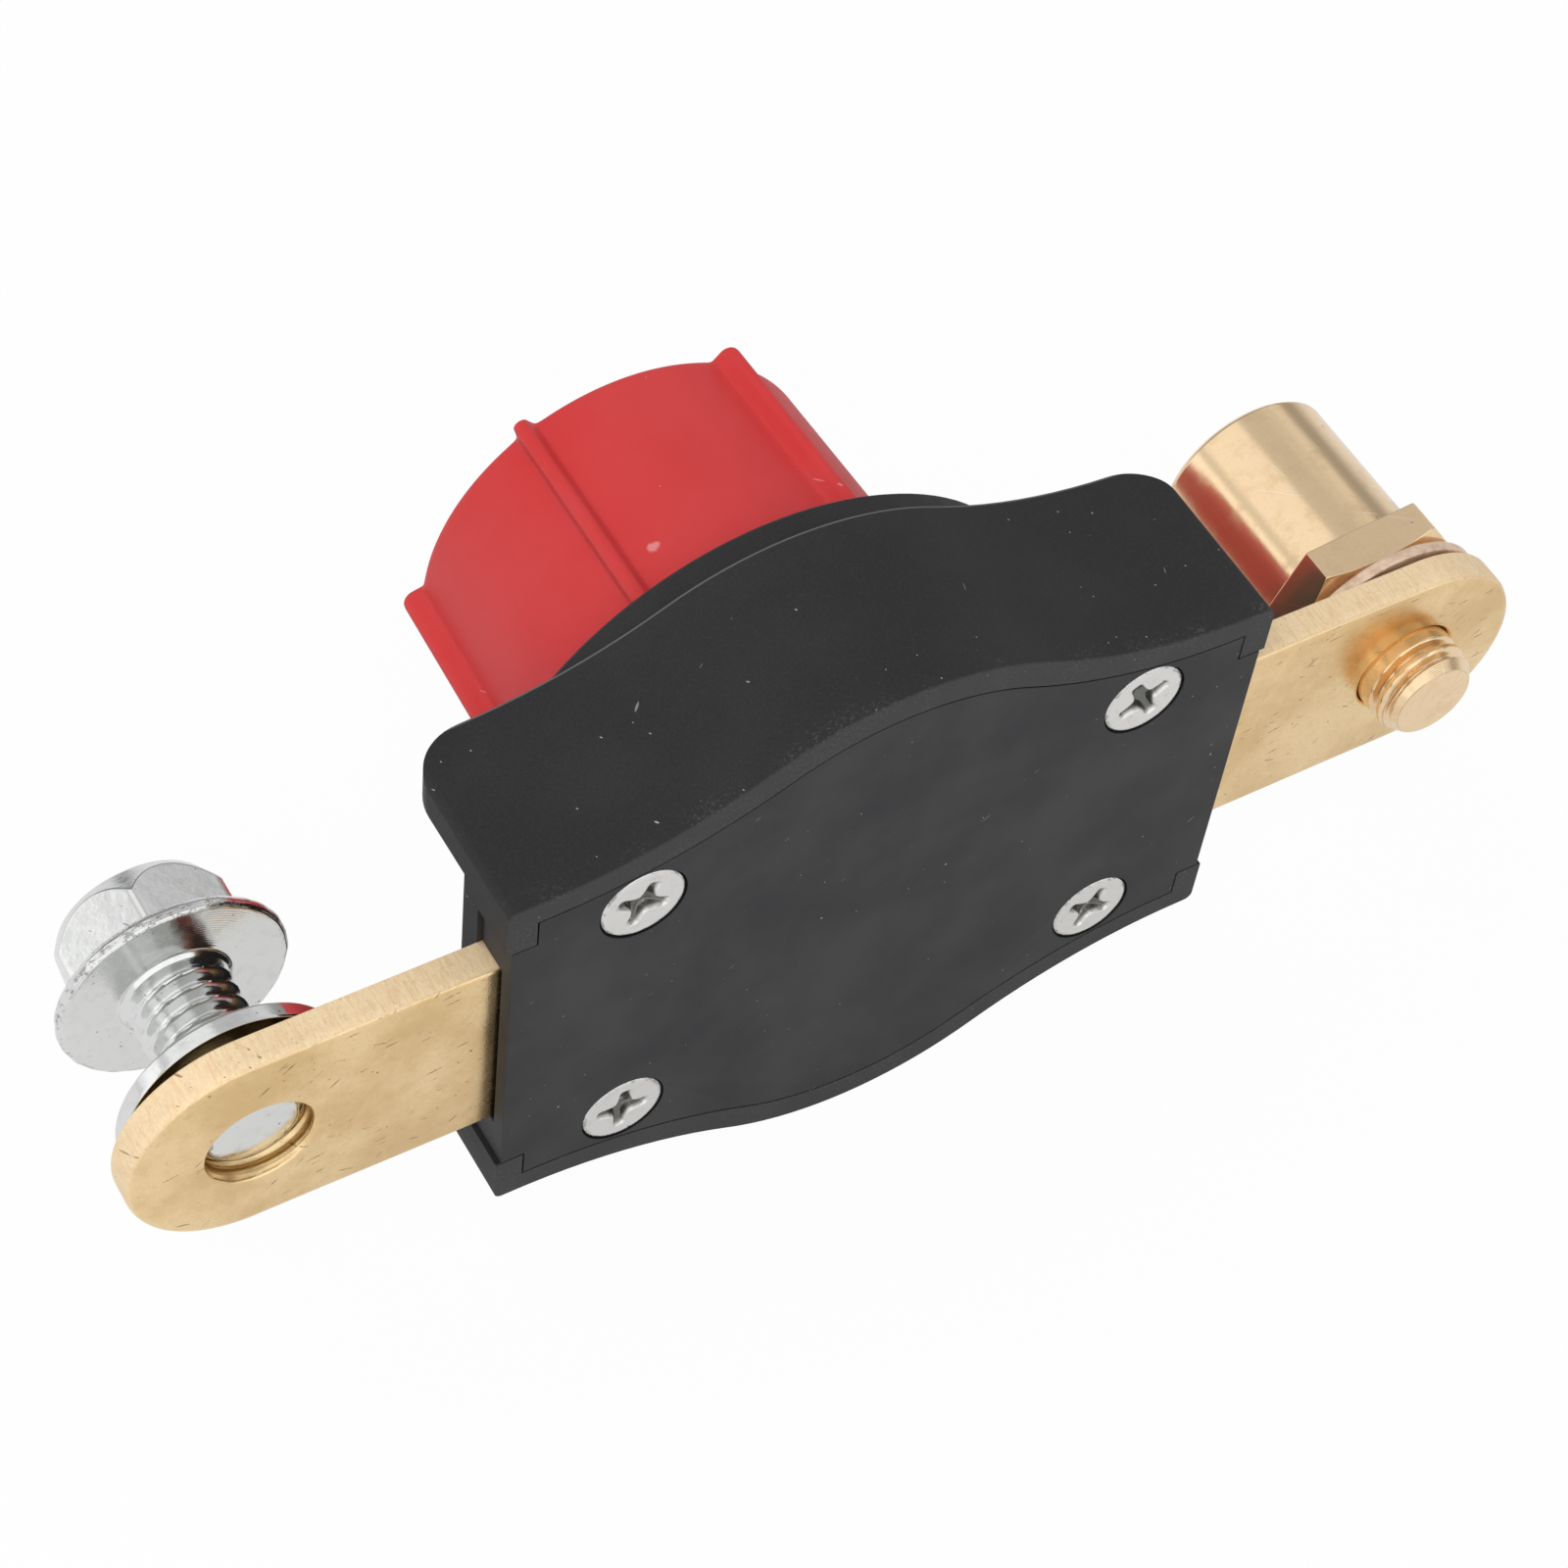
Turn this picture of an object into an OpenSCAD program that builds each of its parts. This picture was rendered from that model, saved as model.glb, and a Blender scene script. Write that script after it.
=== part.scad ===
// Battery disconnect switch for a side-terminal battery.
// X runs along the two brass bars, Y along the knob's axis from the cover's
// outer face (Y = 0) towards the knob, Z across the housing, upwards in use.

/* [Housing] */
// Length of the housing between its two end faces
body_l = 73.6; // [72:0.2:80]
// Width of the housing at its ends
end_w = 42; // [40:0.5:46]
// Radius of the bulge round the knob's axis
bulge_r = 29.3; // [28.8:0.1:34]
// Radius of the hollow curve between an end and the bulge
waist_r = 50; // [35:1:54]
// Height of the side walls, from the cover's outer face
wall_h = 19; // [17:0.5:20]
// Rounding of the side walls' four corners on the knob side
wall_corner_r = 5; // [3:0.5:6]
// Rounding of the upright edges at the ends
edge_r = 0.8; // [0.4:0.1:1.2]
// Thickness of the side rails that stand beside each bar
rail_t = 3.6; // [2.5:0.1:4]
// Thickness of the deck over each bar
deck_t = 2.5; // [2:0.1:3.5]
// Radius of the round boss under the knob
boss_r = 28.2; // [27.4:0.1:28.4]
// Height of the boss above the side walls
boss_rise = 3.3; // [2.5:0.1:5]
// Thickness of the boss's top plate
boss_plate_t = 3; // [2.8:0.1:3.6]
// Radius of the switch chamber inside
chamber_r = 23.5; // [23.2:0.1:24.5]

/* [Cover] */
// Thickness of the cover plate, on which the bars lie
cover_t = 2; // [1.8:0.1:2.6]
// Width of the shell's rim beside the cover at the ends
rim_end = 2.4; // [1.8:0.1:3]
// Width of the shell's rim beside the cover at the bulge
rim_bulge = 2.9; // [2:0.1:3.4]
// Length along X of the shell's four corner legs
leg_l = 2.6; // [2:0.1:4]
// Width of the cover's end tabs
tab_w = 31.1; // [29:0.1:32]
// How far the tabs' faces lie behind the legs' faces
tab_set = 0.45; // [0.2:0.05:0.8]
// Gap under each bar where it crosses its tab
slot_gap = 0.35; // [0.2:0.05:0.6]
// Gap between the cover and the shell
seam_gap = 0.15; // [0.1:0.05:0.3]
// Distance between the cover screws along X
screw_dx = 48.8; // [47:0.2:50]
// Distance between the cover screws along Z
screw_dz = 30.4; // [29.6:0.2:31]
// Radius of a cover screw's head
screw_head_r = 3.95; // [3.5:0.05:4.1]
// Radius of a cover screw's thread
screw_r = 1.9; // [1.5:0.05:2]
// Length of a cover screw
screw_l = 11; // [8:0.5:12]

/* [Bars] */
// Width of the brass bars
bar_w = 22.2; // [20:0.2:23]
// Thickness of the brass bars
bar_t = 3.2; // [2.5:0.1:3.4]
// Distance between the bolt's axis and the post's axis
reach = 115.2; // [108:0.2:130]
// Metal beyond the hole's axis at each outer end
bar_end = 11.75; // [11.6:0.05:14]
// Gap between the inner ends of the two bars
bar_gap = 20; // [16:1:24]
// Radius of the tapped hole for the terminal bolt, to the thread's root
bolt_hole_r = 4.78; // [4.76:0.01:4.9]
// Distance from the knob's axis to each locating peg
peg_x = 30; // [29:0.5:31]
// Radius of each locating peg
peg_r = 2; // [1.5:0.1:2.5]

/* [Terminal bolt] */
// Radius of the terminal bolt's thread
bolt_r = 4.7; // [4.6:0.01:4.75]
// Length of the terminal bolt under its flange
bolt_l = 15.2; // [12:0.1:20]
// Depth of the bolt's tip behind the bar's battery side
bolt_tip_in = 1.5; // [0.2:0.1:2.6]
// Radius of the bolt's flange
flange_r = 10.5; // [9.5:0.1:11]
// Thickness of the flange's rim
flange_t = 1.2; // [0.8:0.1:1.6]
// Width of the bolt's hexagon across its flats
bolt_af = 15; // [13:0.1:15.8]
// Height of the bolt's head above its flange's underside
bolt_head_h = 8.4; // [7:0.1:9.5]
// Outer radius of the flat washer
washer_r = 10.25; // [9.5:0.05:11]
// Radius of the flat washer's hole
washer_hole_r = 5.3; // [5.1:0.05:6]
// Thickness of the flat washer
washer_t = 1.7; // [1.2:0.1:2.2]
// Lean of the loose washer, its lower edge on the bar
washer_lean = 5; // [0:0.5:6]

/* [Cable post] */
// Radius of the post's thread
post_thread_r = 4.95; // [4.5:0.05:5]
// Length of the post's thread beyond the bar on the battery side
post_thread_out = 4.65; // [3:0.05:9]
// Width of the post's hexagon across its flats
post_af = 20.6; // [19:0.1:22]
// Turn of the post's hexagon about its axis
post_turn = 6; // [0:1:30]
// Thickness of the post's hexagon
post_hex_t = 4.2; // [3:0.1:5]
// Radius of the post's barrel
post_r = 9; // [8.5:0.05:9.5]
// Length of the post's barrel
post_l = 17.7; // [15:0.1:20]
// Radius of the tapped hole in the barrel's end, to its thread's crest
post_bore_r = 4; // [3.4:0.05:4.2]
// Depth of the tapped hole in the barrel's end
post_bore_l = 13; // [10:0.5:14]
// Outer radius of the split washer
split_r = 11.1; // [9:0.1:11.4]
// Thickness of the split washer
split_t = 1.2; // [0.8:0.1:2.2]
// Rise of the split washer from one end to the other
split_rise = 0.7; // [0.4:0.1:1.2]

/* [Knob] */
// Radius of the knob's wall at its foot
knob_r = 20.8; // [19.5:0.1:21.4]
// Draft of the knob's wall and ribs in degrees
knob_draft = 1.9; // [0:0.1:3]
// Height of the knob
knob_h = 26.1; // [22:0.1:30]
// Thickness of the knob's wall
knob_wall = 2.2; // [1.6:0.1:3]
// Thickness of the knob's top
knob_top = 3; // [2:0.1:4]
// Number of grip ribs
rib_count = 6; // [4:2:12]
// How far a rib stands out of the knob's wall
rib_out = 1.9; // [1.2:0.1:2.6]
// Half width of a rib at its crest
rib_tip_r = 0.75; // [0.5:0.05:1]
// Half width of a rib at its foot
rib_foot = 1.25; // [1.1:0.05:2]
// Fillet between a rib and the wall
rib_fillet = 0.9; // [0.3:0.1:1.5]
// Depth of the recess for the knob's screw
well_l = 5.3; // [4.2:0.1:8]

/* [Switch] */
// Radius of the rotor's shaft
shaft_r = 6; // [5.6:0.1:6.4]
// Radius of the rotor's disc
disc_r = 22.6; // [20.5:0.1:22.8]
// Thickness of the rotor's disc
disc_t = 5.3; // [5:0.1:5.8]
// Width of the rotor's square drive into the knob
drive_w = 8; // [7.2:0.1:8.4]
// Length of the moving contact
bridge_l = 43; // [38:0.5:44]
// Width of the moving contact
bridge_w = 12; // [11:0.5:14]
// Thickness of the moving contact
bridge_t = 2.2; // [1.6:0.1:2.6]
// Width of the square spigot that turns the moving contact
spigot_w = 6; // [5:0.1:6.4]
// Radius of a detent ball
ball_r = 2; // [1.6:0.1:2.1]
// Angle of turn between on and off
turn_deg = 90; // [60:5:90]

/* [Hidden] */

$fn = 72;
eps = 0.01;       // overshoot of a cut past the face it leaves
run_gap = 0.05;   // clearance of a seated or sliding face
turn_gap = 0.15;  // clearance round the turning parts

bar_y0 = cover_t;
bar_y1 = bar_y0 + bar_t;
deck_y = bar_y1 + deck_t;
boss_y = wall_h + boss_rise;
roof_y = boss_y - boss_plate_t;
bolt_x = -reach / 2;
post_x = reach / 2;
half_l = body_l / 2;
leg_x = half_l - leg_l;
chan_w = bar_w + 2 * seam_gap;
tab_y = bar_y1 - seam_gap;

// Terminal bolt and its washer
bolt_y0 = bar_y0 + bolt_tip_in;
flange_y = bolt_y0 + bolt_l;
washer_y = bar_y1 + run_gap + washer_r * sin(washer_lean);
washer_drop = washer_hole_r * cos(washer_lean) - washer_t * sin(washer_lean)
    - bolt_r - 2 * run_gap;

// Cable post
hex_y = bar_y1 + split_t + split_rise + 2 * run_gap;
split_deg = 40;
barrel_y = hex_y + post_hex_t;
post_end_y = barrel_y + post_l;

// Rotor stack, from the roof of the chamber downwards
thrust_t = 0.9;
disc_y1 = roof_y - thrust_t - 2 * run_gap;
disc_y0 = disc_y1 - disc_t;
shaft_gap = 0.06;
bore_r = shaft_r + shaft_gap;
bridge_y = bar_y1 + run_gap;
bridge_y1 = bridge_y + bridge_t;
spigot_y = bridge_y + 0.3;
spring_wire_r = 0.6;
spring_r = spigot_w * 0.71 + spring_wire_r + 0.5;
spring_turns = 3.5;
seal_r = 0.7;
seal_y = (roof_y + boss_y) / 2;
seal_ring_r = bore_r - seal_r - run_gap;
pad_r = chamber_r - 0.5;
pad_y = bar_y1 - 2 * run_gap;

// Detents: two sprung balls in the disc's rim
ball_angles = [135, 315];
ball_y = (disc_y0 + disc_y1) / 2;
ball_bore_r = ball_r + run_gap;
ball_bore_l = 9;
ball_x = chamber_r - turn_gap - ball_r;
notch_in = 0.6;
coil_wire_r = 0.3;

// Stop pin and the arc that it runs in
pin_r = 1.5;
pin_ring_r = 17;
pin_y0 = disc_y1 - 3.5;
pin_y1 = roof_y + 1.1;
groove_y1 = pin_y1 + 0.3;
pin_deg = 200;

// Knob
knob_y0 = boss_y + 0.4;
knob_y1 = knob_y0 + knob_h;
knob_roof = knob_y1 - knob_top;
knob_edge = 0.5;
hub_r = 8.6;
web_h = 8;
web_t = 1.6;
socket_w = drive_w + 2 * run_gap;
head_y = knob_y1 - well_l;
socket_y = head_y - 2.6;
drive_y1 = socket_y - 0.4;
knob_screw_r = 1.95;
knob_screw_l = 11;
knob_head_r = 3.9;
knob_head_t = 2.4;
lock_t = 0.9;
well_r = knob_head_r + 0.9;

pillar_r = 3.6;
pillar_y = wall_h - 6;
screw_rim = 0.3;

// A flat shape in X and Z, drawn up along Y from y0 to y1.
module rise(y0, y1) {
    translate([0, y1, 0]) rotate([90, 0, 0]) linear_extrude(y1 - y0) children();
}

// A profile of radius and height, turned about Y.
module turned() {
    rotate([-90, 0, 0]) rotate_extrude() children();
}

// A round rod along Y.
module rod(y0, y1, r, r1 = -1) {
    translate([0, y0, 0]) rotate([-90, 0, 0])
        cylinder(h = y1 - y0, r1 = r, r2 = r1 < 0 ? r : r1);
}

// A box that is centred in X and Z.
module slab(x, y0, y1, z) {
    translate([-x / 2, y0, -z / 2]) cube([x, y1 - y0, z]);
}

module round_rect(l, w, r) {
    square([l - 2 * r, w], center = true);
    square([l, w - 2 * r], center = true);
    for (sx = [-1, 1], sz = [-1, 1])
        translate([sx * (l / 2 - r), sz * (w / 2 - r)]) circle(r);
}

// Flat ends that run through a hollow curve into a round bulge. The hollow
// circle touches both the flat side and the bulge.
module waisted(l, w, bulge, waist, corner) {
    cx = sqrt(pow(bulge + waist, 2) - pow(w / 2 + waist, 2));
    cz = w / 2 + waist;
    round_rect(l, w, corner);
    circle(bulge, $fn = 144);
    intersection() {
        square([l - 2 * corner, 4 * bulge], center = true);
        for (sx = [-1, 1], sz = [-1, 1]) scale([sx, sz]) difference() {
            polygon([[0, 0], [cx, 0], [cx, cz]]);
            translate([cx, cz]) circle(waist, $fn = 180);
        }
    }
}

module housing_outline() {
    waisted(body_l, end_w, bulge_r, waist_r, edge_r);
}

// The cover's plate between the legs, grown by g all round.
module cover_outline(g) {
    intersection() {
        waisted(body_l, end_w - 2 * rim_end + 2 * g, bulge_r - rim_bulge + g,
                waist_r + rim_end - g, edge_r);
        square([2 * (leg_x + g - seam_gap), 4 * bulge_r], center = true);
    }
}

module at_screws() {
    for (sx = [-1, 1], sz = [-1, 1])
        translate([sx * screw_dx / 2, 0, sz * screw_dz / 2]) children();
}

// Side view of the walls: square at the cover, rounded at the knob side.
module wall_block() {
    translate([0, 0, 2 * bulge_r]) rotate([180, 0, 0]) linear_extrude(4 * bulge_r)
        scale([1, -1]) {
            translate([-half_l, 0]) square([body_l, wall_h - wall_corner_r]);
            translate([-half_l + wall_corner_r, 0])
                square([body_l - 2 * wall_corner_r, wall_h]);
            for (sx = [-1, 1])
                translate([sx * (half_l - wall_corner_r), wall_h - wall_corner_r])
                    circle(wall_corner_r);
        }
}

// The ring sector of the stop pin's travel.
module pin_groove() {
    spare = asin((pin_r + turn_gap) / pin_ring_r);
    rise(roof_y - eps, groove_y1) intersection() {
        difference() {
            circle(pin_ring_r + pin_r + turn_gap);
            circle(pin_ring_r - pin_r - turn_gap);
        }
        rotate(-pin_deg) polygon([
            [0, 0],
            for (k = [0 : 4]) let (a = spare - k * (turn_deg + 2 * spare) / 4)
                1.5 * chamber_r * [cos(a), sin(a)]
        ]);
    }
}

module housing_shell() {
    color([0.2, 0.2, 0.21]) {
        difference() {
            union() {
                difference() {
                    intersection() {
                        rise(0, wall_h) housing_outline();
                        wall_block();
                    }
                    // The low middle between the rails, at both ends
                    rise(deck_y, wall_h + 1) difference() {
                        square([body_l + 2, end_w - 2 * rail_t], center = true);
                        circle(boss_r, $fn = 144);
                    }
                }
                turned() polygon([
                    [0, deck_y - 1], [boss_r, deck_y - 1], [boss_r, boss_y - 0.5],
                    [boss_r - 0.5, boss_y], [0, boss_y]
                ]);
                at_screws() rod(deck_y - 1, pillar_y, pillar_r);
            }
            rise(-eps, cover_t) cover_outline(seam_gap);
            // Notches for the cover's end tabs, and channels for the bars
            for (sx = [-1, 1]) {
                translate([sx * (half_l + leg_x - seam_gap) / 2, 0, 0])
                    slab(leg_l + seam_gap + eps, -eps, bar_y1, tab_w + 2 * seam_gap);
                translate([sx * half_l, 0, 0])
                    slab(2 * half_l - bar_gap, cover_t - eps, bar_y1, chan_w);
            }
            rod(cover_t - eps, roof_y, chamber_r);
            rod(roof_y - eps, boss_y + eps, bore_r);
            pin_groove();
            at_screws() {
                rod(cover_t - eps, screw_l + 1, screw_r + run_gap);
                rod(cover_t - eps, cover_t + 0.5, screw_r + 0.6, screw_r + run_gap);
            }
            // Detent notches at on and off
            for (a = ball_angles, k = [0, 1]) rotate([0, a + k * turn_deg, 0])
                translate([ball_x + notch_in, ball_y, 0]) rotate([0, 90, 0])
                    cylinder(h = ball_r + turn_gap, r = ball_r + turn_gap);
        }
        // Pegs that hold the bars in their channels
        for (sx = [-1, 1]) translate([sx * peg_x, 0, 0])
            rod(cover_t + 0.3, bar_y1 + 0.1, peg_r);
    }
}

module bottom_cover() {
    color([0.24, 0.24, 0.25]) difference() {
        union() {
            rise(0, cover_t) cover_outline(0);
            // Pad that fills the chamber's floor level with the bars
            rod(cover_t - 0.5, pad_y, pad_r);
            for (sx = [-1, 1])
                translate([sx * (half_l - tab_set + leg_x - 1) / 2, 0, 0])
                    slab(leg_l - tab_set + 1, 0, tab_y, tab_w);
        }
        for (sx = [-1, 1]) {
            translate([sx * (half_l + bar_gap / 2 - seam_gap) / 2, 0, 0])
                slab(half_l - bar_gap / 2 + seam_gap, bar_y0, bar_y1, chan_w);
            translate([sx * (leg_x + leg_l), 0, 0])
                slab(2 * leg_l, bar_y0 - slot_gap, bar_y1, chan_w);
            // The tabs' inner faces stop short of the shell's end walls
            translate([sx * (leg_x - 5), 0, 0])
                slab(10, cover_t, bar_y1, tab_w + 1);
        }
        at_screws() {
            rod(-eps, screw_rim + eps, screw_head_r + 0.1);
            rod(screw_rim, cover_t + eps, screw_head_r + 0.1,
                screw_head_r + 0.1 - (cover_t - screw_rim));
        }
    }
}

// Countersunk screw with a cross recess, its head at Y = 0.
module cross_screw() {
    difference() {
        turned() polygon([
            [0, run_gap], [screw_head_r, run_gap], [screw_head_r, screw_rim],
            [screw_r, screw_rim + screw_head_r - screw_r], [screw_r, screw_l - 1],
            [screw_r * 0.5, screw_l], [0, screw_l]
        ]);
        for (a = [0, 90]) rotate([0, a, 0]) rise(-1, 1.9) polygon([
            [-2.3, -0.3], [-0.9, -0.6], [0.9, -0.6], [2.3, -0.3],
            [2.3, 0.3], [0.9, 0.6], [-0.9, 0.6], [-2.3, 0.3]
        ]);
    }
}

module cover_screws() {
    color([0.78, 0.78, 0.76]) at_screws() rotate([0, 38, 0]) cross_screw();
}

// A bar from the gap in the chamber to its full-round outer end, drawn for
// the +X side, with its outer hole and its peg hole.
module bar(hole_r) {
    outer = reach / 2 + bar_end;
    difference() {
        rise(bar_y0, bar_y1) difference() {
            union() {
                translate([bar_gap / 2, -bar_w / 2])
                    square([outer - bar_w / 2 - bar_gap / 2, bar_w]);
                translate([outer - bar_w / 2, 0]) circle(bar_w / 2, $fn = 96);
            }
            translate([peg_x, 0]) circle(peg_r + 0.1);
        }
        translate([reach / 2, 0, 0]) {
            rod(bar_y0 - eps, bar_y1 + eps, hole_r);
            rod(bar_y0 - eps, bar_y0 + 0.3, hole_r + 0.3, hole_r);
        }
    }
}

module bolt_bar() {
    color([0.84, 0.68, 0.42]) mirror([1, 0, 0]) bar(bolt_hole_r);
}

module post_bar() {
    color([0.84, 0.68, 0.42]) bar(post_thread_r + run_gap);
}

// A hexagon prism whose corners are turned off: top and under are the slopes
// of its two chamfers, which start 0.4 inside the flats.
module hex_head(y0, y1, af, top = 0, under = 0) {
    corner = af / sqrt(3);
    flat = af / 2 - 0.4;
    out = corner + 1;
    intersection() {
        rise(y0, y1) circle(corner, $fn = 6);
        turned() polygon([
            [0, y0], [flat, y0], [out, y0 + under * (out - flat)],
            [out, y1 - top * (out - flat)], [flat, y1], [0, y1]
        ]);
    }
}

module terminal_bolt() {
    color([0.8, 0.81, 0.8]) translate([bolt_x, 0, 0]) {
        turned() polygon([
            [0, bolt_y0], [bolt_r - 0.6, bolt_y0], [bolt_r, bolt_y0 + 0.6],
            [bolt_r, flange_y - 0.4], [bolt_r + 0.4, flange_y],
            [flange_r - 0.3, flange_y], [flange_r, flange_y + 0.3],
            [flange_r, flange_y + flange_t],
            [bolt_af / 2 + 0.6, flange_y + flange_t + 1.2],
            [0, flange_y + flange_t + 1.2]
        ]);
        rotate([0, 14, 0])
            hex_head(flange_y + 1, flange_y + bolt_head_h, bolt_af, top = 0.58);
    }
}

module flat_washer() {
    color([0.78, 0.79, 0.79]) translate([bolt_x, washer_y, -washer_drop])
        rotate([-washer_lean, 0, 0]) turned() polygon([
            [washer_hole_r, 0], [washer_r - 0.15, 0], [washer_r, 0.15],
            [washer_r, washer_t - 0.25], [washer_r - 0.25, washer_t],
            [washer_hole_r, washer_t]
        ]);
}

module cable_post() {
    color([0.86, 0.7, 0.46]) translate([post_x, 0, 0]) difference() {
        union() {
            turned() polygon([
                [0, bar_y0 - post_thread_out],
                [post_thread_r - 1, bar_y0 - post_thread_out],
                [post_thread_r, bar_y0 - post_thread_out + 1.6],
                [post_thread_r, hex_y], [post_r, hex_y + 0.5],
                [post_r, post_end_y - 0.7], [post_r - 0.7, post_end_y], [0, post_end_y]
            ]);
            rotate([0, -post_turn, 0]) hex_head(hex_y, barrel_y, post_af, under = 0.45);
        }
        rod(post_end_y - post_bore_l, post_end_y + eps, post_bore_r);
        rod(post_end_y - post_bore_l - 1.6, post_end_y - post_bore_l + eps, 0.2, post_bore_r);
        rod(post_end_y - 0.9, post_end_y + eps, post_bore_r, post_bore_r + 0.9);
    }
}

// A closed tube of four-sided or many-sided section swept along points: pts
// holds one ring of points for each step, all with the same count.
module loft(rings) {
    n = len(rings[0]);
    m = len(rings);
    polyhedron(
        points = [for (ring = rings) for (p = ring) p],
        faces = concat(
            [[for (i = [n - 1 : -1 : 0]) i]],
            [for (k = [0 : m - 2]) for (i = [0 : n - 1])
                [k * n + i, k * n + (i + 1) % n, (k + 1) * n + (i + 1) % n, (k + 1) * n + i]],
            [[for (i = [0 : n - 1]) (m - 1) * n + i]]
        )
    );
}

// One turn of flat stock that falls from end to end, with a cut between. Its
// raised end lies at split_deg, measured from X towards Z.
module spring_washer() {
    steps = 60;
    sweep = 354;
    inner = post_thread_r + 0.5;
    color([0.78, 0.52, 0.36]) translate([post_x, bar_y1 + run_gap, 0]) loft([
        for (k = [0 : steps])
            let (a = split_deg + sweep * k / steps, y = split_rise * (1 - k / steps))
            [for (c = [[inner, 0], [inner, split_t], [split_r, split_t], [split_r, 0]])
                [c[0] * cos(a), y + c[1], c[0] * sin(a)]]
    ]);
}

// Round wire wound about Y: closed by flat end coils that share its turns.
module coil(y0, y1, r, wire, turns, per_turn, sides) {
    steps = ceil(turns * per_turn);
    loft([
        for (k = [0 : steps])
            let (a = 360 * turns * k / steps,
                 y = y0 + wire + (y1 - y0 - 2 * wire) * k / steps)
            [for (i = [0 : sides - 1])
                let (b = 360 * i / sides, q = r + wire * cos(b))
                [q * cos(a), y - wire * sin(b), -q * sin(a)]]
    ]);
}

// Radius of the knob's outer wall at a height.
function wall_r(y) = knob_r - (y - knob_y0) * tan(knob_draft);

// One rib's section with the wall's face at X = 0: a round crest, straight
// flanks and a fillet at both sides of the foot.
module rib_section() {
    crest = rib_out - rib_tip_r;
    translate([crest, 0]) circle(rib_tip_r, $fn = 24);
    polygon([
        [-1, -rib_foot], [crest, -rib_tip_r], [crest, rib_tip_r], [-1, rib_foot]
    ]);
    for (s = [-1, 1]) scale([1, s]) translate([-knob_r, 0]) rib_foot_fillet();
}

// The corner between a rib's side and the wall, with a round cut from it. The
// round dips a little under the wall's face.
module rib_foot_fillet() {
    dip = 0.04;
    ring = knob_r + rib_fillet - dip;
    z = rib_foot + rib_fillet - 0.1;
    x = sqrt(ring * ring - z * z);
    difference() {
        polygon([[knob_r - 1, 0], [x, 0], [x, z], [x, z] * knob_r / ring]);
        translate([x, z]) circle(rib_fillet, $fn = 32);
    }
}

// The ribs stand on the wall and lean in with it.
module knob_ribs() {
    for (k = [0 : rib_count - 1]) rotate([0, k * 360 / rib_count, 0])
        translate([knob_r, knob_y0, 0]) rotate([0, 0, knob_draft])
            rise(-1, knob_h + 1) rib_section();
}

// Webs that join the hub to the wall under the knob's top.
module knob_webs() {
    for (k = [0 : 2]) rotate([0, 30 + k * 60, 0])
        slab(2 * wall_r(knob_roof) - knob_wall, knob_roof - web_h, knob_roof + 0.5, web_t);
}

module knob() {
    tip_r = wall_r(knob_y1) + rib_out;
    color([0.85, 0.18, 0.19]) difference() {
        union() {
            difference() {
                intersection() {
                    union() {
                        turned() polygon([
                            [0, knob_y0], [knob_r, knob_y0],
                            [wall_r(knob_y1 - knob_edge), knob_y1 - knob_edge],
                            [wall_r(knob_y1) - knob_edge, knob_y1], [0, knob_y1]
                        ]);
                        knob_ribs();
                    }
                    turned() polygon([
                        [0, knob_y0], [knob_r + 3, knob_y0],
                        [knob_r + 3, knob_y1 - (knob_r + 3 - tip_r + knob_edge)],
                        [tip_r - knob_edge, knob_y1], [0, knob_y1]
                    ]);
                }
                turned() polygon([
                    [hub_r, knob_y0 - eps], [knob_r - knob_wall, knob_y0 - eps],
                    [wall_r(knob_roof) - knob_wall, knob_roof], [hub_r, knob_roof]
                ]);
            }
            knob_webs();
        }
        rise(knob_y0 - eps, socket_y) square(socket_w, center = true);
        rod(socket_y - eps, head_y + eps, knob_screw_r + 0.2);
        rod(head_y, knob_y1 + eps, well_r);
    }
}

module knob_screw() {
    y = head_y + lock_t + run_gap;
    color([0.75, 0.76, 0.76]) difference() {
        turned() polygon([
            [0, y - knob_screw_l], [knob_screw_r - 0.5, y - knob_screw_l],
            [knob_screw_r, y - knob_screw_l + 0.5], [knob_screw_r, y],
            [knob_head_r, y], [knob_head_r, y + knob_head_t - 0.9],
            [knob_head_r - 0.9, y + knob_head_t], [0, y + knob_head_t]
        ]);
        for (a = [0, 90]) rotate([0, a, 0])
            slab(4.2, y + knob_head_t - 1.5, y + knob_head_t + 1, 0.9);
    }
}

module knob_screw_washer() {
    color([0.7, 0.71, 0.72]) difference() {
        rod(head_y + run_gap / 2, head_y + run_gap / 2 + lock_t, knob_head_r - 0.2);
        rod(head_y, head_y + 2 * lock_t, knob_screw_r + 0.15);
        slab(0.6, head_y, head_y + 2 * lock_t, 0.6);
    }
}

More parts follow.
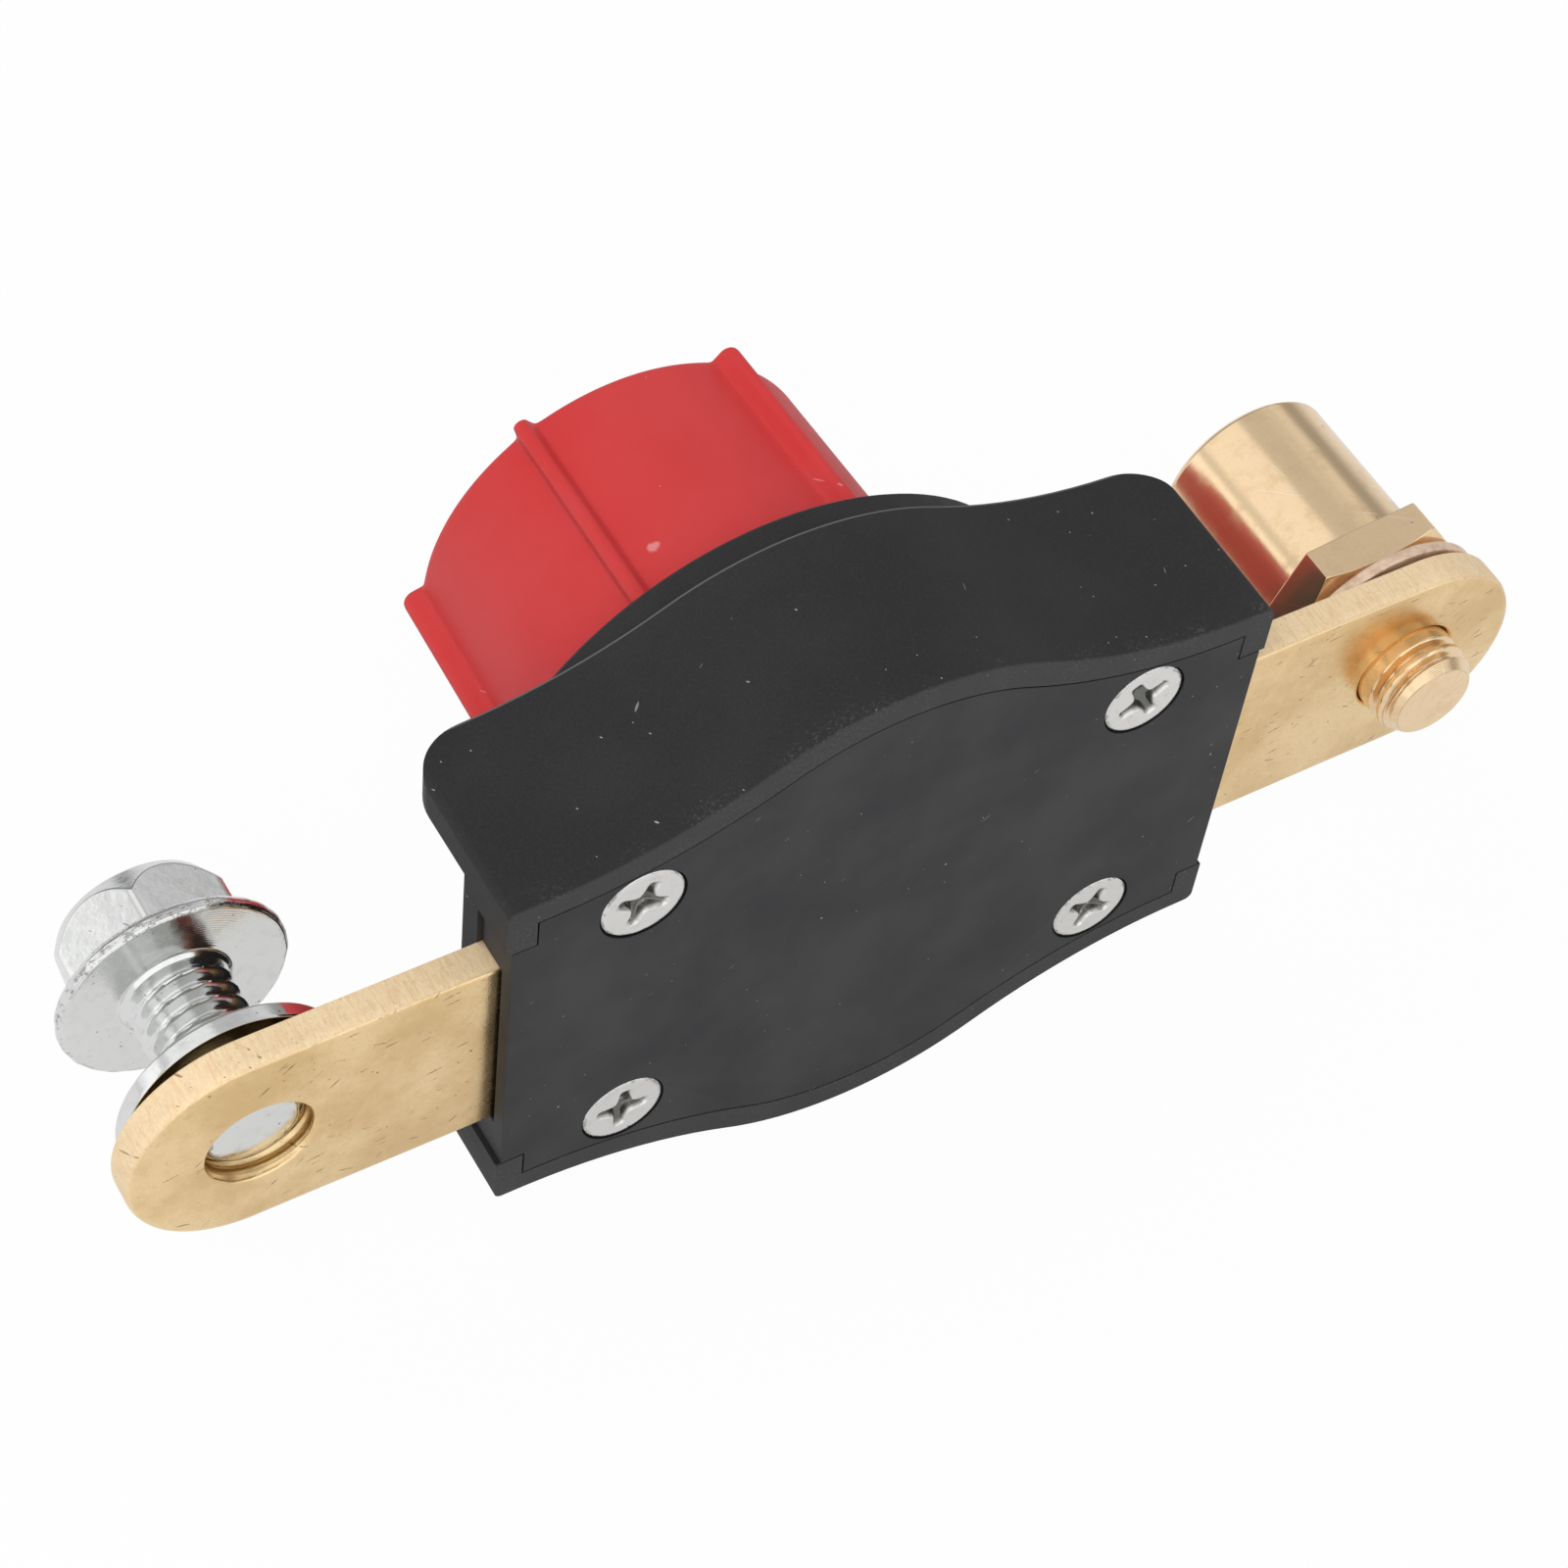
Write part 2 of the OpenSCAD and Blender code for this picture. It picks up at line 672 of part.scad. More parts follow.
module rotor() {
    color([0.86, 0.85, 0.8]) difference() {
        union() {
            turned() polygon([
                [0, disc_y0], [disc_r - 0.4, disc_y0], [disc_r, disc_y0 + 0.4],
                [disc_r, disc_y1 - 0.4], [disc_r - 0.4, disc_y1], [shaft_r, disc_y1],
                [shaft_r, seal_y - seal_r - 0.1], [seal_ring_r - seal_r - run_gap, seal_y - seal_r - 0.1],
                [seal_ring_r - seal_r - run_gap, seal_y + seal_r + 0.1],
                [shaft_r, seal_y + seal_r + 0.1], [shaft_r, knob_y0], [0, knob_y0]
            ]);
            slab(drive_w, knob_y0 - 1, drive_y1, drive_w);
            slab(spigot_w, spigot_y, disc_y0 + 1, spigot_w);
        }
        rod(head_y - knob_screw_l - 1, drive_y1 + eps, knob_screw_r + run_gap);
        for (a = ball_angles) rotate([0, a, 0])
            translate([disc_r - ball_bore_l, ball_y, 0]) rotate([0, 90, 0])
                cylinder(h = ball_bore_l + 1, r = ball_bore_r);
        rotate([0, pin_deg, 0]) translate([pin_ring_r, 0, 0])
            rod(pin_y0, disc_y1 + eps, pin_r + run_gap / 2);
    }
}

module shaft_seal() {
    color([0.1, 0.1, 0.1]) translate([0, seal_y, 0]) rotate([-90, 0, 0])
        rotate_extrude() translate([seal_ring_r, 0]) circle(seal_r, $fn = 24);
}

module thrust_washer() {
    color([0.92, 0.9, 0.82]) difference() {
        rod(disc_y1 + run_gap, disc_y1 + run_gap + thrust_t, pin_ring_r - pin_r - 1);
        rod(disc_y1, disc_y1 + 2 * thrust_t, shaft_r + 0.2);
    }
}

module contact_bridge() {
    color([0.86, 0.64, 0.4]) rise(bridge_y, bridge_y1) difference() {
        intersection() {
            square([bridge_l, bridge_w], center = true);
            circle(bridge_l / 2);
        }
        square(spigot_w + 2 * run_gap, center = true);
    }
}

module contact_spring() {
    color([0.7, 0.71, 0.73])
        coil(bridge_y1 + run_gap, disc_y0 - run_gap, spring_r, spring_wire_r,
             spring_turns, 22, 8);
}

module detent_balls() {
    color([0.8, 0.81, 0.82]) for (a = ball_angles) rotate([0, a, 0])
        translate([ball_x, ball_y, 0]) sphere(ball_r);
}

module detent_springs() {
    inner = disc_r - ball_bore_l + run_gap;
    color([0.7, 0.71, 0.73]) for (a = ball_angles) rotate([0, a, 0])
        translate([0, ball_y, 0]) rotate([0, 0, -90])
            coil(inner, ball_x - ball_r - run_gap, ball_r - coil_wire_r - 0.2,
                 coil_wire_r, 4, 14, 6);
}

module stop_pin() {
    color([0.75, 0.76, 0.77]) rotate([0, pin_deg, 0]) translate([pin_ring_r, 0, 0])
        rod(pin_y0 + run_gap, pin_y1, pin_r);
}

housing_shell();
bottom_cover();
cover_screws();
bolt_bar();
post_bar();
terminal_bolt();
flat_washer();
cable_post();
spring_washer();
knob();
knob_screw();
knob_screw_washer();
rotor();
shaft_seal();
thrust_washer();
contact_bridge();
contact_spring();
detent_balls();
detent_springs();
stop_pin();
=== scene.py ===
import math

import bmesh
import bpy
import numpy as np
from bpy.props import FloatProperty, FloatVectorProperty, IntProperty, PointerProperty
from mathutils import Matrix, Vector


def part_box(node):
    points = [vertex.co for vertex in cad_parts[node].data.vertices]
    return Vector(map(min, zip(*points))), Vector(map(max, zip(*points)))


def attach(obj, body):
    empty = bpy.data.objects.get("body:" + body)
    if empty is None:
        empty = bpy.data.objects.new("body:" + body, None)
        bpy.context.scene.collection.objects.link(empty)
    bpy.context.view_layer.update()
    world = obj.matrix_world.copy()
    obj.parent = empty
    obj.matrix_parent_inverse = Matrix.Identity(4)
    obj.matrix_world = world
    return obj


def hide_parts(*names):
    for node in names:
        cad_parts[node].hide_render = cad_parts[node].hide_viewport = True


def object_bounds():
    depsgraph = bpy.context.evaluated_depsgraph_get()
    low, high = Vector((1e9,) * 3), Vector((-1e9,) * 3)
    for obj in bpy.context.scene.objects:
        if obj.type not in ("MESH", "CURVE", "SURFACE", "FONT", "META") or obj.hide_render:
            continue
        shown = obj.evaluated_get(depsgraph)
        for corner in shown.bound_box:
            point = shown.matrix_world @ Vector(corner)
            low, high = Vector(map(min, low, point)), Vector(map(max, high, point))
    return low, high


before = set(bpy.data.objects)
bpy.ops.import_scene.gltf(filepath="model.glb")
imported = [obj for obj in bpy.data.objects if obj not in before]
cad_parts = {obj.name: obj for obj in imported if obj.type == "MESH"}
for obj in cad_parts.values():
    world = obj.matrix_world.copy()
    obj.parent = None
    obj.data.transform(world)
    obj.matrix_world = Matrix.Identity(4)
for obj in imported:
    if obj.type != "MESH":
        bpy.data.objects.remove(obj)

bl_info = {
    "name": "Battery Disconnect Switch",
    "version": (1, 0, 0),
    "blender": (4, 5, 0),
    "location": "View3D > Sidebar > Switch",
    "description": "Dresses the packed battery disconnect switch with detailed pieces and finishes",
    "category": "Object",
}

MM = 0.001
CAD_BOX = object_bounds()
TAU = 2 * math.pi


def span(node):
    """The lowest and highest corner of a CAD node, in millimetres."""
    low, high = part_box(node)
    return np.array(low) / MM, np.array(high) / MM


def wall_top(past):
    """Height of the side walls: the shell's highest point farther than past from the
    knob's axis along X, which leaves the round boss out."""
    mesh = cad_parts["housing_shell"].data
    points = np.empty(3 * len(mesh.vertices))
    mesh.vertices.foreach_get("co", points)
    points = points.reshape(-1, 3) / MM
    return points[np.abs(points[:, 0]) > past, 1].max()


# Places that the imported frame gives, in millimetres
(BAR_LOW, BAR_HIGH), (BOLT_LOW, BOLT_HIGH), (POST_LOW, POST_HIGH) = map(
    span, ("post_bar", "terminal_bolt", "cable_post"))
(KNOB_LOW, KNOB_HIGH), (WASHER_LOW, WASHER_HIGH), (SPRING_LOW, SPRING_HIGH) = map(
    span, ("knob", "flat_washer", "spring_washer"))
(SCREWS_LOW, SCREWS_HIGH), (COVER_LOW, COVER_HIGH), (KNOB_SCREW_LOW, KNOB_SCREW_HIGH) = map(
    span, ("cover_screws", "bottom_cover", "knob_screw"))
BOLT_X = (BOLT_LOW[0] + BOLT_HIGH[0]) / 2
POST_X = (POST_LOW[0] + POST_HIGH[0]) / 2
WALL_TOP = wall_top(29)

# A small pale nick on the knob's wall, in millimetres
KNOB_NICK = (-7.2, 30.4, 19.2)

# Height at which the countersinks of the cover's screw holes meet their mouths
COUNTERSINK = 0.31

# Turn in degrees of each cover screw's recess, by the sides of X and Z that it lies on
SCREW_TURNS = {(-1, 1): 23, (1, 1): -28, (-1, -1): 6, (1, -1): 26}

# Turns of the two hexagons
BOLT_TURN = math.radians(22)
POST_TURN = math.radians(-6)

# Level of the light that reflections see, by the angle in degrees about Y from X towards Z
SHEETS = ((-180, 0.85), (-20, 0.85), (2, 0.62), (12, 0.34), (25, 0.36), (33, 0.76),
          (42, 0.76), (48, 0.66), (56, 0.66), (62, 0.59), (88, 0.61), (93, 1.0), (139, 1.05),
          (144, 0.72), (150, 0.72), (154, 1.22), (168, 1.22), (180, 0.9))

# Name, place, width and power of each lamp, and the point that they face
LAMPS = (("key", (-0.35, -0.45, 0.75), 0.55, 3.6), ("top", (-0.3, 0.45, 0.75), 0.6, 1.8),
         ("front", (0.35, -0.8, 0.1), 0.6, 1.2))
LAMP_AIM = (0, 0.015, 0)


# Settings

def colour_setting(name, description, *levels):
    return FloatVectorProperty(name=name, description=description, subtype="COLOR", size=4,
                               default=levels + (1,))


def length_setting(name, description, millimetres):
    return FloatProperty(name=name, description=description, default=millimetres * MM,
                         unit="LENGTH", precision=5)


def angle_setting(name, description, degrees):
    return FloatProperty(name=name, description=description, subtype="ANGLE",
                         default=math.radians(degrees))


class PlasticLook(bpy.types.PropertyGroup):
    shell: colour_setting("Shell", "Colour of the moulded shell", 0.016, 0.016, 0.0175)
    cover: colour_setting("Cover", "Colour of the flat cover", 0.0195, 0.02, 0.022)
    # This colour also paints the highlight line along the shell wall's top edge
    rubbed_and_highlight: colour_setting("Rubbed", "Colour of the plastic where its edges are scuffed",
                           0.075, 0.074, 0.072)
    knob: colour_setting("Knob", "Colour of the knob", 0.65, 0.041, 0.043)
    edge: length_setting("Edge rounding", "Radius on the moulded edges", 0.22)


class MetalLook(bpy.types.PropertyGroup):
    bar_face: colour_setting("Bar face", "Colour of the bars' rolled faces", 0.75, 0.52, 0.25)
    bar_edge: colour_setting("Bar edge", "Colour of the bars' sheared edges", 1.0, 0.79, 0.5)
    turned: colour_setting("Turned brass", "Colour of the cable post", 0.93, 0.7, 0.44)
    bronze: colour_setting("Bronze", "Colour of the split washer", 0.95, 0.72, 0.53)
    zinc: colour_setting("Zinc", "Colour of the plated bolt and washer", 0.76, 0.77, 0.76)
    nickel: colour_setting("Nickel", "Colour of the screws", 0.78, 0.77, 0.75)


class ThreadSizes(bpy.types.PropertyGroup):
    bolt_pitch: length_setting(
        "Bolt pitch", "Advance of the terminal bolt's thread in one turn", 1.5875)
    post_pitch: length_setting("Post pitch", "Advance of the post's thread in one turn", 1.5)
    depth: length_setting("Depth", "Depth of the threads from crest to root", 0.82)
    around: IntProperty(
        name="Points around", description="Points round each turned piece",
        default=216, min=48, max=720)


class CameraPlace(bpy.types.PropertyGroup):
    azimuth: angle_setting("Azimuth", "Turn of the camera from the cover's side", 36.518)
    elevation: angle_setting("Elevation", "Height angle of the camera", 51.922)
    roll: angle_setting("Roll", "Turn of the camera about its own line of sight", 8.372)
    distance: length_setting("Distance", "From the camera to its target", 334.9)
    lens: FloatProperty(
        name="Lens", description="Focal length on a 36 mm sensor, in millimetres",
        default=86.94)
    target: FloatVectorProperty(
        name="Target", description="Point that the camera looks at", subtype="TRANSLATION",
        size=3, default=(-0.62 * MM, 15.731 * MM, -0.705 * MM))


# Shader maths

class Value:
    """One socket of a node tree. Arithmetic on it adds Math nodes to the tree."""

    def __init__(self, tree, socket):
        self.tree = tree
        self.socket = socket

    def math(self, operation, *inputs):
        return self.tree.node("Math", {"operation": operation}, *inputs)

    def __add__(self, other):
        return self.math("ADD", self, other)

    def __sub__(self, other):
        return self.math("SUBTRACT", self, other)

    def __mul__(self, other):
        return self.math("MULTIPLY", self, other)

    def __truediv__(self, other):
        return self.math("DIVIDE", self, other)

    def __rsub__(self, other):
        return self.math("SUBTRACT", other, self)

    def __rtruediv__(self, other):
        return self.math("DIVIDE", other, self)

    __radd__ = __add__
    __rmul__ = __mul__

    def sine(self):
        return self.math("SINE", self)

    def above(self, low, high):
        """0 below low, 1 above high and smooth between them. With low above high it falls."""
        if low > high:
            return 1 - self.above(high, low)
        settings = {"interpolation_type": "SMOOTHSTEP", "clamp": True}
        return self.tree.node("MapRange", settings, self, low, high)


class Graph:
    """A node tree, with short names for the nodes that it uses."""

    def __init__(self, tree):
        self.nodes = tree.nodes
        self.links = tree.links

    def node(self, kind, settings=None, *inputs, output=0, **named):
        """Adds any node: its settings come first, then values or links for its sockets."""
        added = self.nodes.new("ShaderNode" + kind)
        for key, setting in (settings or {}).items():
            setattr(added, key, setting)
        sockets = [socket for socket in added.inputs if socket.enabled]
        for socket, given in zip(sockets, inputs):
            self.feed(socket, given)
        for key, given in named.items():
            self.feed(added.inputs[key], given)
        return Value(self, added.outputs[output])

    def feed(self, socket, given):
        if isinstance(given, Value):
            self.links.new(given.socket, socket)
        else:
            socket.default_value = given

    def parts(self, vector):
        split = self.nodes.new("ShaderNodeSeparateXYZ")
        self.feed(split.inputs[0], vector)
        return [Value(self, socket) for socket in split.outputs]

    def join(self, x, y, z):
        return self.node("CombineXYZ", {}, x, y, z)

    def scaled(self, vector, factors):
        return self.node("VectorMath", {"operation": "MULTIPLY"}, vector, factors)

    def mix(self, share, first, second):
        """A colour that goes from first to second as share goes from 0 to 1."""
        added = self.nodes.new("ShaderNodeMix")
        added.data_type = "RGBA"
        self.feed(added.inputs[0], share)
        self.feed(added.inputs[6], first)
        self.feed(added.inputs[7], second)
        return Value(self, added.outputs[2])


class Finish(Graph):
    """A material with its Principled shader. Its places are in millimetres."""

    def __init__(self, name):
        self.material = bpy.data.materials.new(name)
        self.material.use_nodes = True
        super().__init__(self.material.node_tree)
        self.shader = self.nodes["Principled BSDF"]
        coordinates = self.node("TexCoord", {}, output="Object")
        self.place = self.scaled(coordinates, (1 / MM, 1 / MM, 1 / MM))
        self.x, self.y, self.z = self.parts(self.place)

    def noise(self, per_mm, detail=2.0, rough=0.5, stretch=(1, 1, 1)):
        """Noise from 0 to 1 with per_mm bumps in a millimetre along each stretched axis."""
        return self.node("TexNoise", {}, Vector=self.scaled(self.place, stretch),
                         Scale=per_mm, Detail=detail, Roughness=rough)

    def specks(self, cell, radius, share, stretch=(1, 1), turn=0.0):
        """Spots in a share of the cells of a flat pattern, with soft rims. The pattern lies
        in X and Z and slants along Y, so that it shows on a face of any direction. A
        stretched spot is narrower along that axis, and turn slants it in the face."""
        across = self.x + self.y * 0.37
        up = self.z + self.y * 0.61
        c, s = math.cos(turn), math.sin(turn)
        at = self.join((across * c + up * s) * stretch[0], (up * c - across * s) * stretch[1], 0)
        cells = self.nodes.new("ShaderNodeTexVoronoi")
        cells.voronoi_dimensions = "2D"
        self.feed(cells.inputs["Vector"], at)
        self.feed(cells.inputs["Scale"], 1 / cell)
        chance, size, _ = self.parts(Value(self, cells.outputs["Color"]))
        reach = (0.35 + size) * (radius / cell)
        spot = (1 - Value(self, cells.outputs["Distance"]) / reach) * 3
        return self.held(spot) * chance.above(1 - share, 1.003 - share)

    def held(self, value):
        """The value kept from 0 to 1."""
        return self.node("Clamp", {}, value)

    def bump(self, height, distance_mm, strength=1.0, under=None):
        extra = {} if under is None else {"Normal": under}
        return self.node("Bump", {}, Height=height, Distance=distance_mm * MM,
                         Strength=strength, **extra)

    def attribute(self, name):
        return self.node("Attribute", {"attribute_name": name}, output="Fac")

    def finish(self, **sockets):
        for name, given in sockets.items():
            self.feed(self.shader.inputs[name.replace("_", " ")], given)
        return self.material


def opaque(colour):
    return tuple(colour[:3]) + (1.0,)


# Finishes

def moulded_plastic(name, colour, rubbed_and_highlight, worn_height, cloud, dust):
    """Fine moulded grain with soft clouds of rubbing and light specks of dust. The face at
    Y = 0 and a fuzzy, patchy zone beside it up to worn_height are scuffed lighter. The thin
    line of the wall's top edge on the knob's side is painted lighter as a painted highlight.
    On the cover, whose worn_height is 0, the faces beyond its outer face are painted near
    black as painted shade in the seam, all but its ends."""
    f = Finish(name)
    clouds = f.noise(0.09, 3, 0.55).above(0.32, 0.72)
    fine = f.noise(4.5, 4, 0.8)
    fuzz = f.noise(3.4, 3, 0.75).above(0.5, 0.68)
    patches = f.noise(0.16, 3, 0.6).above(0.44, 0.6)
    base = f.mix(clouds * cloud, opaque(colour), opaque(rubbed_and_highlight))
    base = f.mix(fine.above(0.42, 0.8) * 0.28, base, opaque(rubbed_and_highlight))
    if not worn_height:
        worn = 0
        # Painted shade: the cover's faces beyond its outer face, all but its ends, are painted near
        # black so that the seam reads dark
        ends = f.x.above(COVER_HIGH[0] - 0.3, COVER_HIGH[0] - 0.1)
        ends = ends + f.x.above(COVER_LOW[0] + 0.3, COVER_LOW[0] + 0.1)
        painted_seam_shade = f.y.above(0.03, 0.1) * (1 - ends)
        base = f.mix(painted_seam_shade * 0.93, base, (0.001, 0.001, 0.001, 1))
    else:
        beside = f.y.above(worn_height, 0.1)
        face = f.y.above(0.24, 0.08)
        # Painted highlight: a thin line along the wall's top edge, painted lighter as if its
        # rounding caught the light
        top = f.y.above(WALL_TOP - 0.22, WALL_TOP - 0.1)
        top = top * f.y.above(WALL_TOP + 0.02, WALL_TOP - 0.05)
        # worn sums real scuffing and the painted highlight line of the wall's top edge
        worn = f.held(beside * beside * fuzz * patches * 1.3 + face * (0.4 + fuzz * 0.2)
                      + top)
        base = f.mix(worn * 0.8, base, opaque(rubbed_and_highlight))
        # The painted highlight line on the wall's top edge is lifted further towards pale grey
        base = f.mix(top * 0.4, base, (0.22, 0.22, 0.21, 1))
    spots = f.specks(3.1, 0.1, 0.05 * dust) + f.specks(1.3, 0.055, 0.06 * dust)
    hairs = f.specks(6.0, 0.5, 0.02 * dust, stretch=(1, 12), turn=0.6)
    base = f.mix(f.held(spots + hairs * 0.5) * 0.8, base, (0.5, 0.5, 0.48, 1))
    normal = f.bump(f.noise(5.5, 2, 0.6), 0.02, 0.6)
    normal = f.bump(f.noise(0.35, 2, 0.5), 0.08, 0.3, under=normal)
    rough = 0.56 + fine * 0.14 + worn * 0.1
    return f.finish(Base_Color=base, Roughness=rough, Normal=normal,
                    Specular_IOR_Level=0.33)


def knob_plastic(colour, nick):
    """Waxy red with faint clouding, tiny light specks, a soft moulded skin and one small
    pale nick at the given place."""
    f = Finish("knob_red")
    clouds = f.noise(0.07, 3, 0.5).above(0.3, 0.7)
    base = f.mix(clouds * 0.3, opaque(colour), (0.7, 0.085, 0.085, 1))
    spots = f.specks(2.4, 0.09, 0.1) + f.specks(5.5, 0.14, 0.15)
    away = f.node("VectorMath", {"operation": "DISTANCE"}, f.place, nick, output="Value")
    pale = (away + f.noise(1.6, 2, 0.5) * 0.8).above(1.05, 0.75)
    base = f.mix(f.held(spots * 0.45 + pale * 0.6), base, (0.86, 0.4, 0.4, 1))
    normal = f.bump(f.noise(4.2, 2, 0.55), 0.012, 0.5)
    normal = f.bump(f.noise(0.22, 2, 0.5), 0.1, 0.25, under=normal)
    rough = 0.46 + f.noise(0.8, 3, 0.6) * 0.12
    f.shader.inputs["Subsurface Weight"].default_value = 0.3
    f.shader.inputs["Subsurface Radius"].default_value = (0.0012, 0.0004, 0.0003)
    f.shader.inputs["Subsurface Scale"].default_value = 1.0
    return f.finish(Base_Color=base, Roughness=rough, Normal=normal,
                    Specular_IOR_Level=0.32)


def bar_brass(face, edge):
    """Rolled strip: sandy skin, pale and dark blotches, dark pits and short scratches that
    lie near the bar's length. The attribute cut is 1 on the sheared edges, which are paler,
    rougher and striated across, with specks of rust."""
    f = Finish("bar_brass")
    cut = f.attribute("cut")
    sand = f.noise(3.2, 4, 0.75)
    blotches = f.noise(0.11, 5, 0.6).above(0.34, 0.66)
    tarnish = f.noise(0.55, 5, 0.75).above(0.54, 0.74)
    flat = f.mix(blotches * 0.8, opaque(face), (0.98, 0.75, 0.43, 1))
    flat = f.mix(sand.above(0.4, 0.75) * 0.3, flat, (0.68, 0.47, 0.22, 1))
    flat = f.mix(tarnish * 0.3, flat, (0.58, 0.4, 0.18, 1))
    dents = f.specks(2.9, 0.15, 0.12) + f.specks(1.3, 0.09, 0.12)
    for turn, share in ((0.15, 0.05), (-0.35, 0.03), (0.7, 0.025)):
        dents = dents + f.specks(2.9, 0.75, share, stretch=(1, 9), turn=turn)
    dents = f.held(dents * f.noise(1.4, 3, 0.7).above(0.36, 0.6))
    flat = f.mix(dents * 0.75, flat, (0.2, 0.12, 0.05, 1))
    lines = f.noise(1.0, 4, 0.75, stretch=(4.2, 0.5, 4.2))
    sheared = f.mix(lines.above(0.42, 0.64) * 0.45, opaque(edge), (0.82, 0.52, 0.26, 1))
    sheared = f.mix(sand.above(0.5, 0.72) * 0.4, sheared, (0.7, 0.46, 0.26, 1))
    rust = f.specks(1.3, 0.13, 0.3) + f.specks(0.8, 0.09, 0.2)
    rust = f.held(rust) * (0.2 + 0.8 * f.x.above(BOLT_X + 6, BOLT_X - 2))
    sheared = f.mix(rust * 0.75, sheared, (0.3, 0.14, 0.06, 1))
    base = f.mix(cut, flat, sheared)
    flat_height = sand * 0.8 - dents * 1.8 + f.noise(1.1, 3, 0.6) * 0.5
    cut_height = lines * 1.3 + sand * 1.6
    normal = f.bump(flat_height * (1 - cut) + cut_height * (cut * 2.2), 0.022, 0.5)
    normal = f.bump(f.noise(0.2, 2, 0.5), 0.05, 0.3, under=normal)
    rough = (0.23 + blotches * 0.03 + tarnish * 0.1) * (1 - cut) + cut * 0.5
    return f.finish(Base_Color=base, Roughness=rough, Normal=normal,
                    Metallic=1 - cut * 0.65)


def turned_brass(colour):
    """Bright turned brass: lines round the axis, cloudy stains, dark specks and fine bright
    scratches. The attribute turning gives the coarser lines of the tip's cone."""
    f = Finish("turned_brass")
    rings = f.noise(1.0, 3, 0.7, stretch=(0.25, 9, 0.25))
    stains = f.noise(0.35, 5, 0.7).above(0.46, 0.7)
    sand = f.noise(3.6, 4, 0.75)
    base = f.mix(stains * 0.35, opaque(colour), (0.74, 0.5, 0.28, 1))
    base = f.mix(sand.above(0.45, 0.75) * 0.22, base, (0.7, 0.48, 0.27, 1))
    scratches = f.specks(4.0, 1.3, 0.035, stretch=(1, 16), turn=1.1)
    scratches = scratches + f.specks(4.0, 1.2, 0.03, stretch=(1, 18), turn=-0.5)
    scratches = f.held(scratches + f.specks(2.2, 0.16, 0.05))
    base = f.mix(scratches * 0.5, base, (1.0, 0.88, 0.7, 1))
    base = f.mix(f.specks(1.9, 0.1, 0.08) * 0.6, base, (0.3, 0.17, 0.08, 1))
    coarse = (f.attribute("turning") * (TAU / 0.16)).sine()
    normal = f.bump(rings + scratches * 1.2 + sand * 0.3, 0.006, 0.4)
    normal = f.bump(coarse, 0.012, 0.7, under=normal)
    normal = f.bump(f.noise(0.4, 3, 0.6), 0.03, 0.3, under=normal)
    rough = 0.13 + stains * 0.1 + sand * 0.06
    return f.finish(Base_Color=base, Roughness=rough, Normal=normal, Metallic=0.92)


def bronze_strip(colour):
    """Pressed strip with a rough, slightly oxidised skin."""
    f = Finish("bronze_strip")
    grain = f.noise(2.2, 4, 0.75)
    dull = f.noise(0.6, 4, 0.65).above(0.42, 0.66)
    base = f.mix(dull * 0.6, opaque(colour), (0.58, 0.35, 0.24, 1))
    base = f.mix(grain.above(0.5, 0.72) * 0.6, base, (0.95, 0.78, 0.66, 1))
    normal = f.bump(grain, 0.09, 0.9)
    return f.finish(Base_Color=base, Roughness=0.34 + grain * 0.2, Normal=normal,
                    Metallic=0.55)


def plated_steel(name, colour, waves, rough):
    """Bright plating over pressed steel: slow waves in the reflections, dull patches and
    dark flecks where the plating is thin. The attribute turning gives fine rings, worn is 1
    on rims that have been knocked, and pressed is 1 on a recess's deepest floor, where the
    colour is darkened in patches as painted shade."""
    f = Finish(name)
    dull = f.noise(0.7, 4, 0.65).above(0.45, 0.75)
    worn = f.attribute("worn")
    chips = worn * f.noise(0.9, 5, 0.8, stretch=(1, 2, 1)).above(0.53, 0.57)
    flecks = f.held(f.specks(1.8, 0.14, 0.14) + f.specks(0.9, 0.07, 0.1) + chips)
    base = f.mix(dull * 0.35, opaque(colour), (0.62, 0.62, 0.6, 1))
    base = f.mix(flecks * 0.6, base, (0.17, 0.165, 0.155, 1))
    # Painted shade: the recess floor is darkened in patches where it lies deep
    recess_shade = f.attribute("pressed").above(0.08, 0.4) * f.noise(1.6, 3, 0.6).above(0.15, 0.4)
    base = f.mix(recess_shade * 0.9, base, (0.1, 0.1, 0.09, 1))
    rings = (f.attribute("turning") * (TAU / 0.28)).sine()
    normal = f.bump(rings, 0.006, 0.5)
    normal = f.bump(f.noise(0.42, 3, 0.6), waves, 0.6, under=normal)
    normal = f.bump(f.noise(3.2, 3, 0.7) - chips * 3, 0.01, 0.5, under=normal)
    shine = rough + dull * 0.13 + worn * 0.05
    return f.finish(Base_Color=base, Roughness=shine, Normal=normal, Metallic=1.0)


def plain(name, colour, rough, metal=False):
    """A hidden piece's material: steel with a fine brushed grain, or else plastic or rubber
    with a faint mould grain."""
    f = Finish(name)
    per_mm, along, share, dark, lift = (3.0, 0.3, 1, 0.7, 0.5) if metal else (
        2.0, 1, 0.5, 0.8, 0.4)
    grain = f.noise(per_mm, 3, 0.6, stretch=(1, along, 1))
    base = f.mix(grain * share, opaque(colour), opaque([dark * c for c in colour]))
    return f.finish(Base_Color=base, Roughness=rough + grain * 0.1,
                    Normal=f.bump(grain, 0.01, lift), Metallic=float(metal))


FINISHES = {}


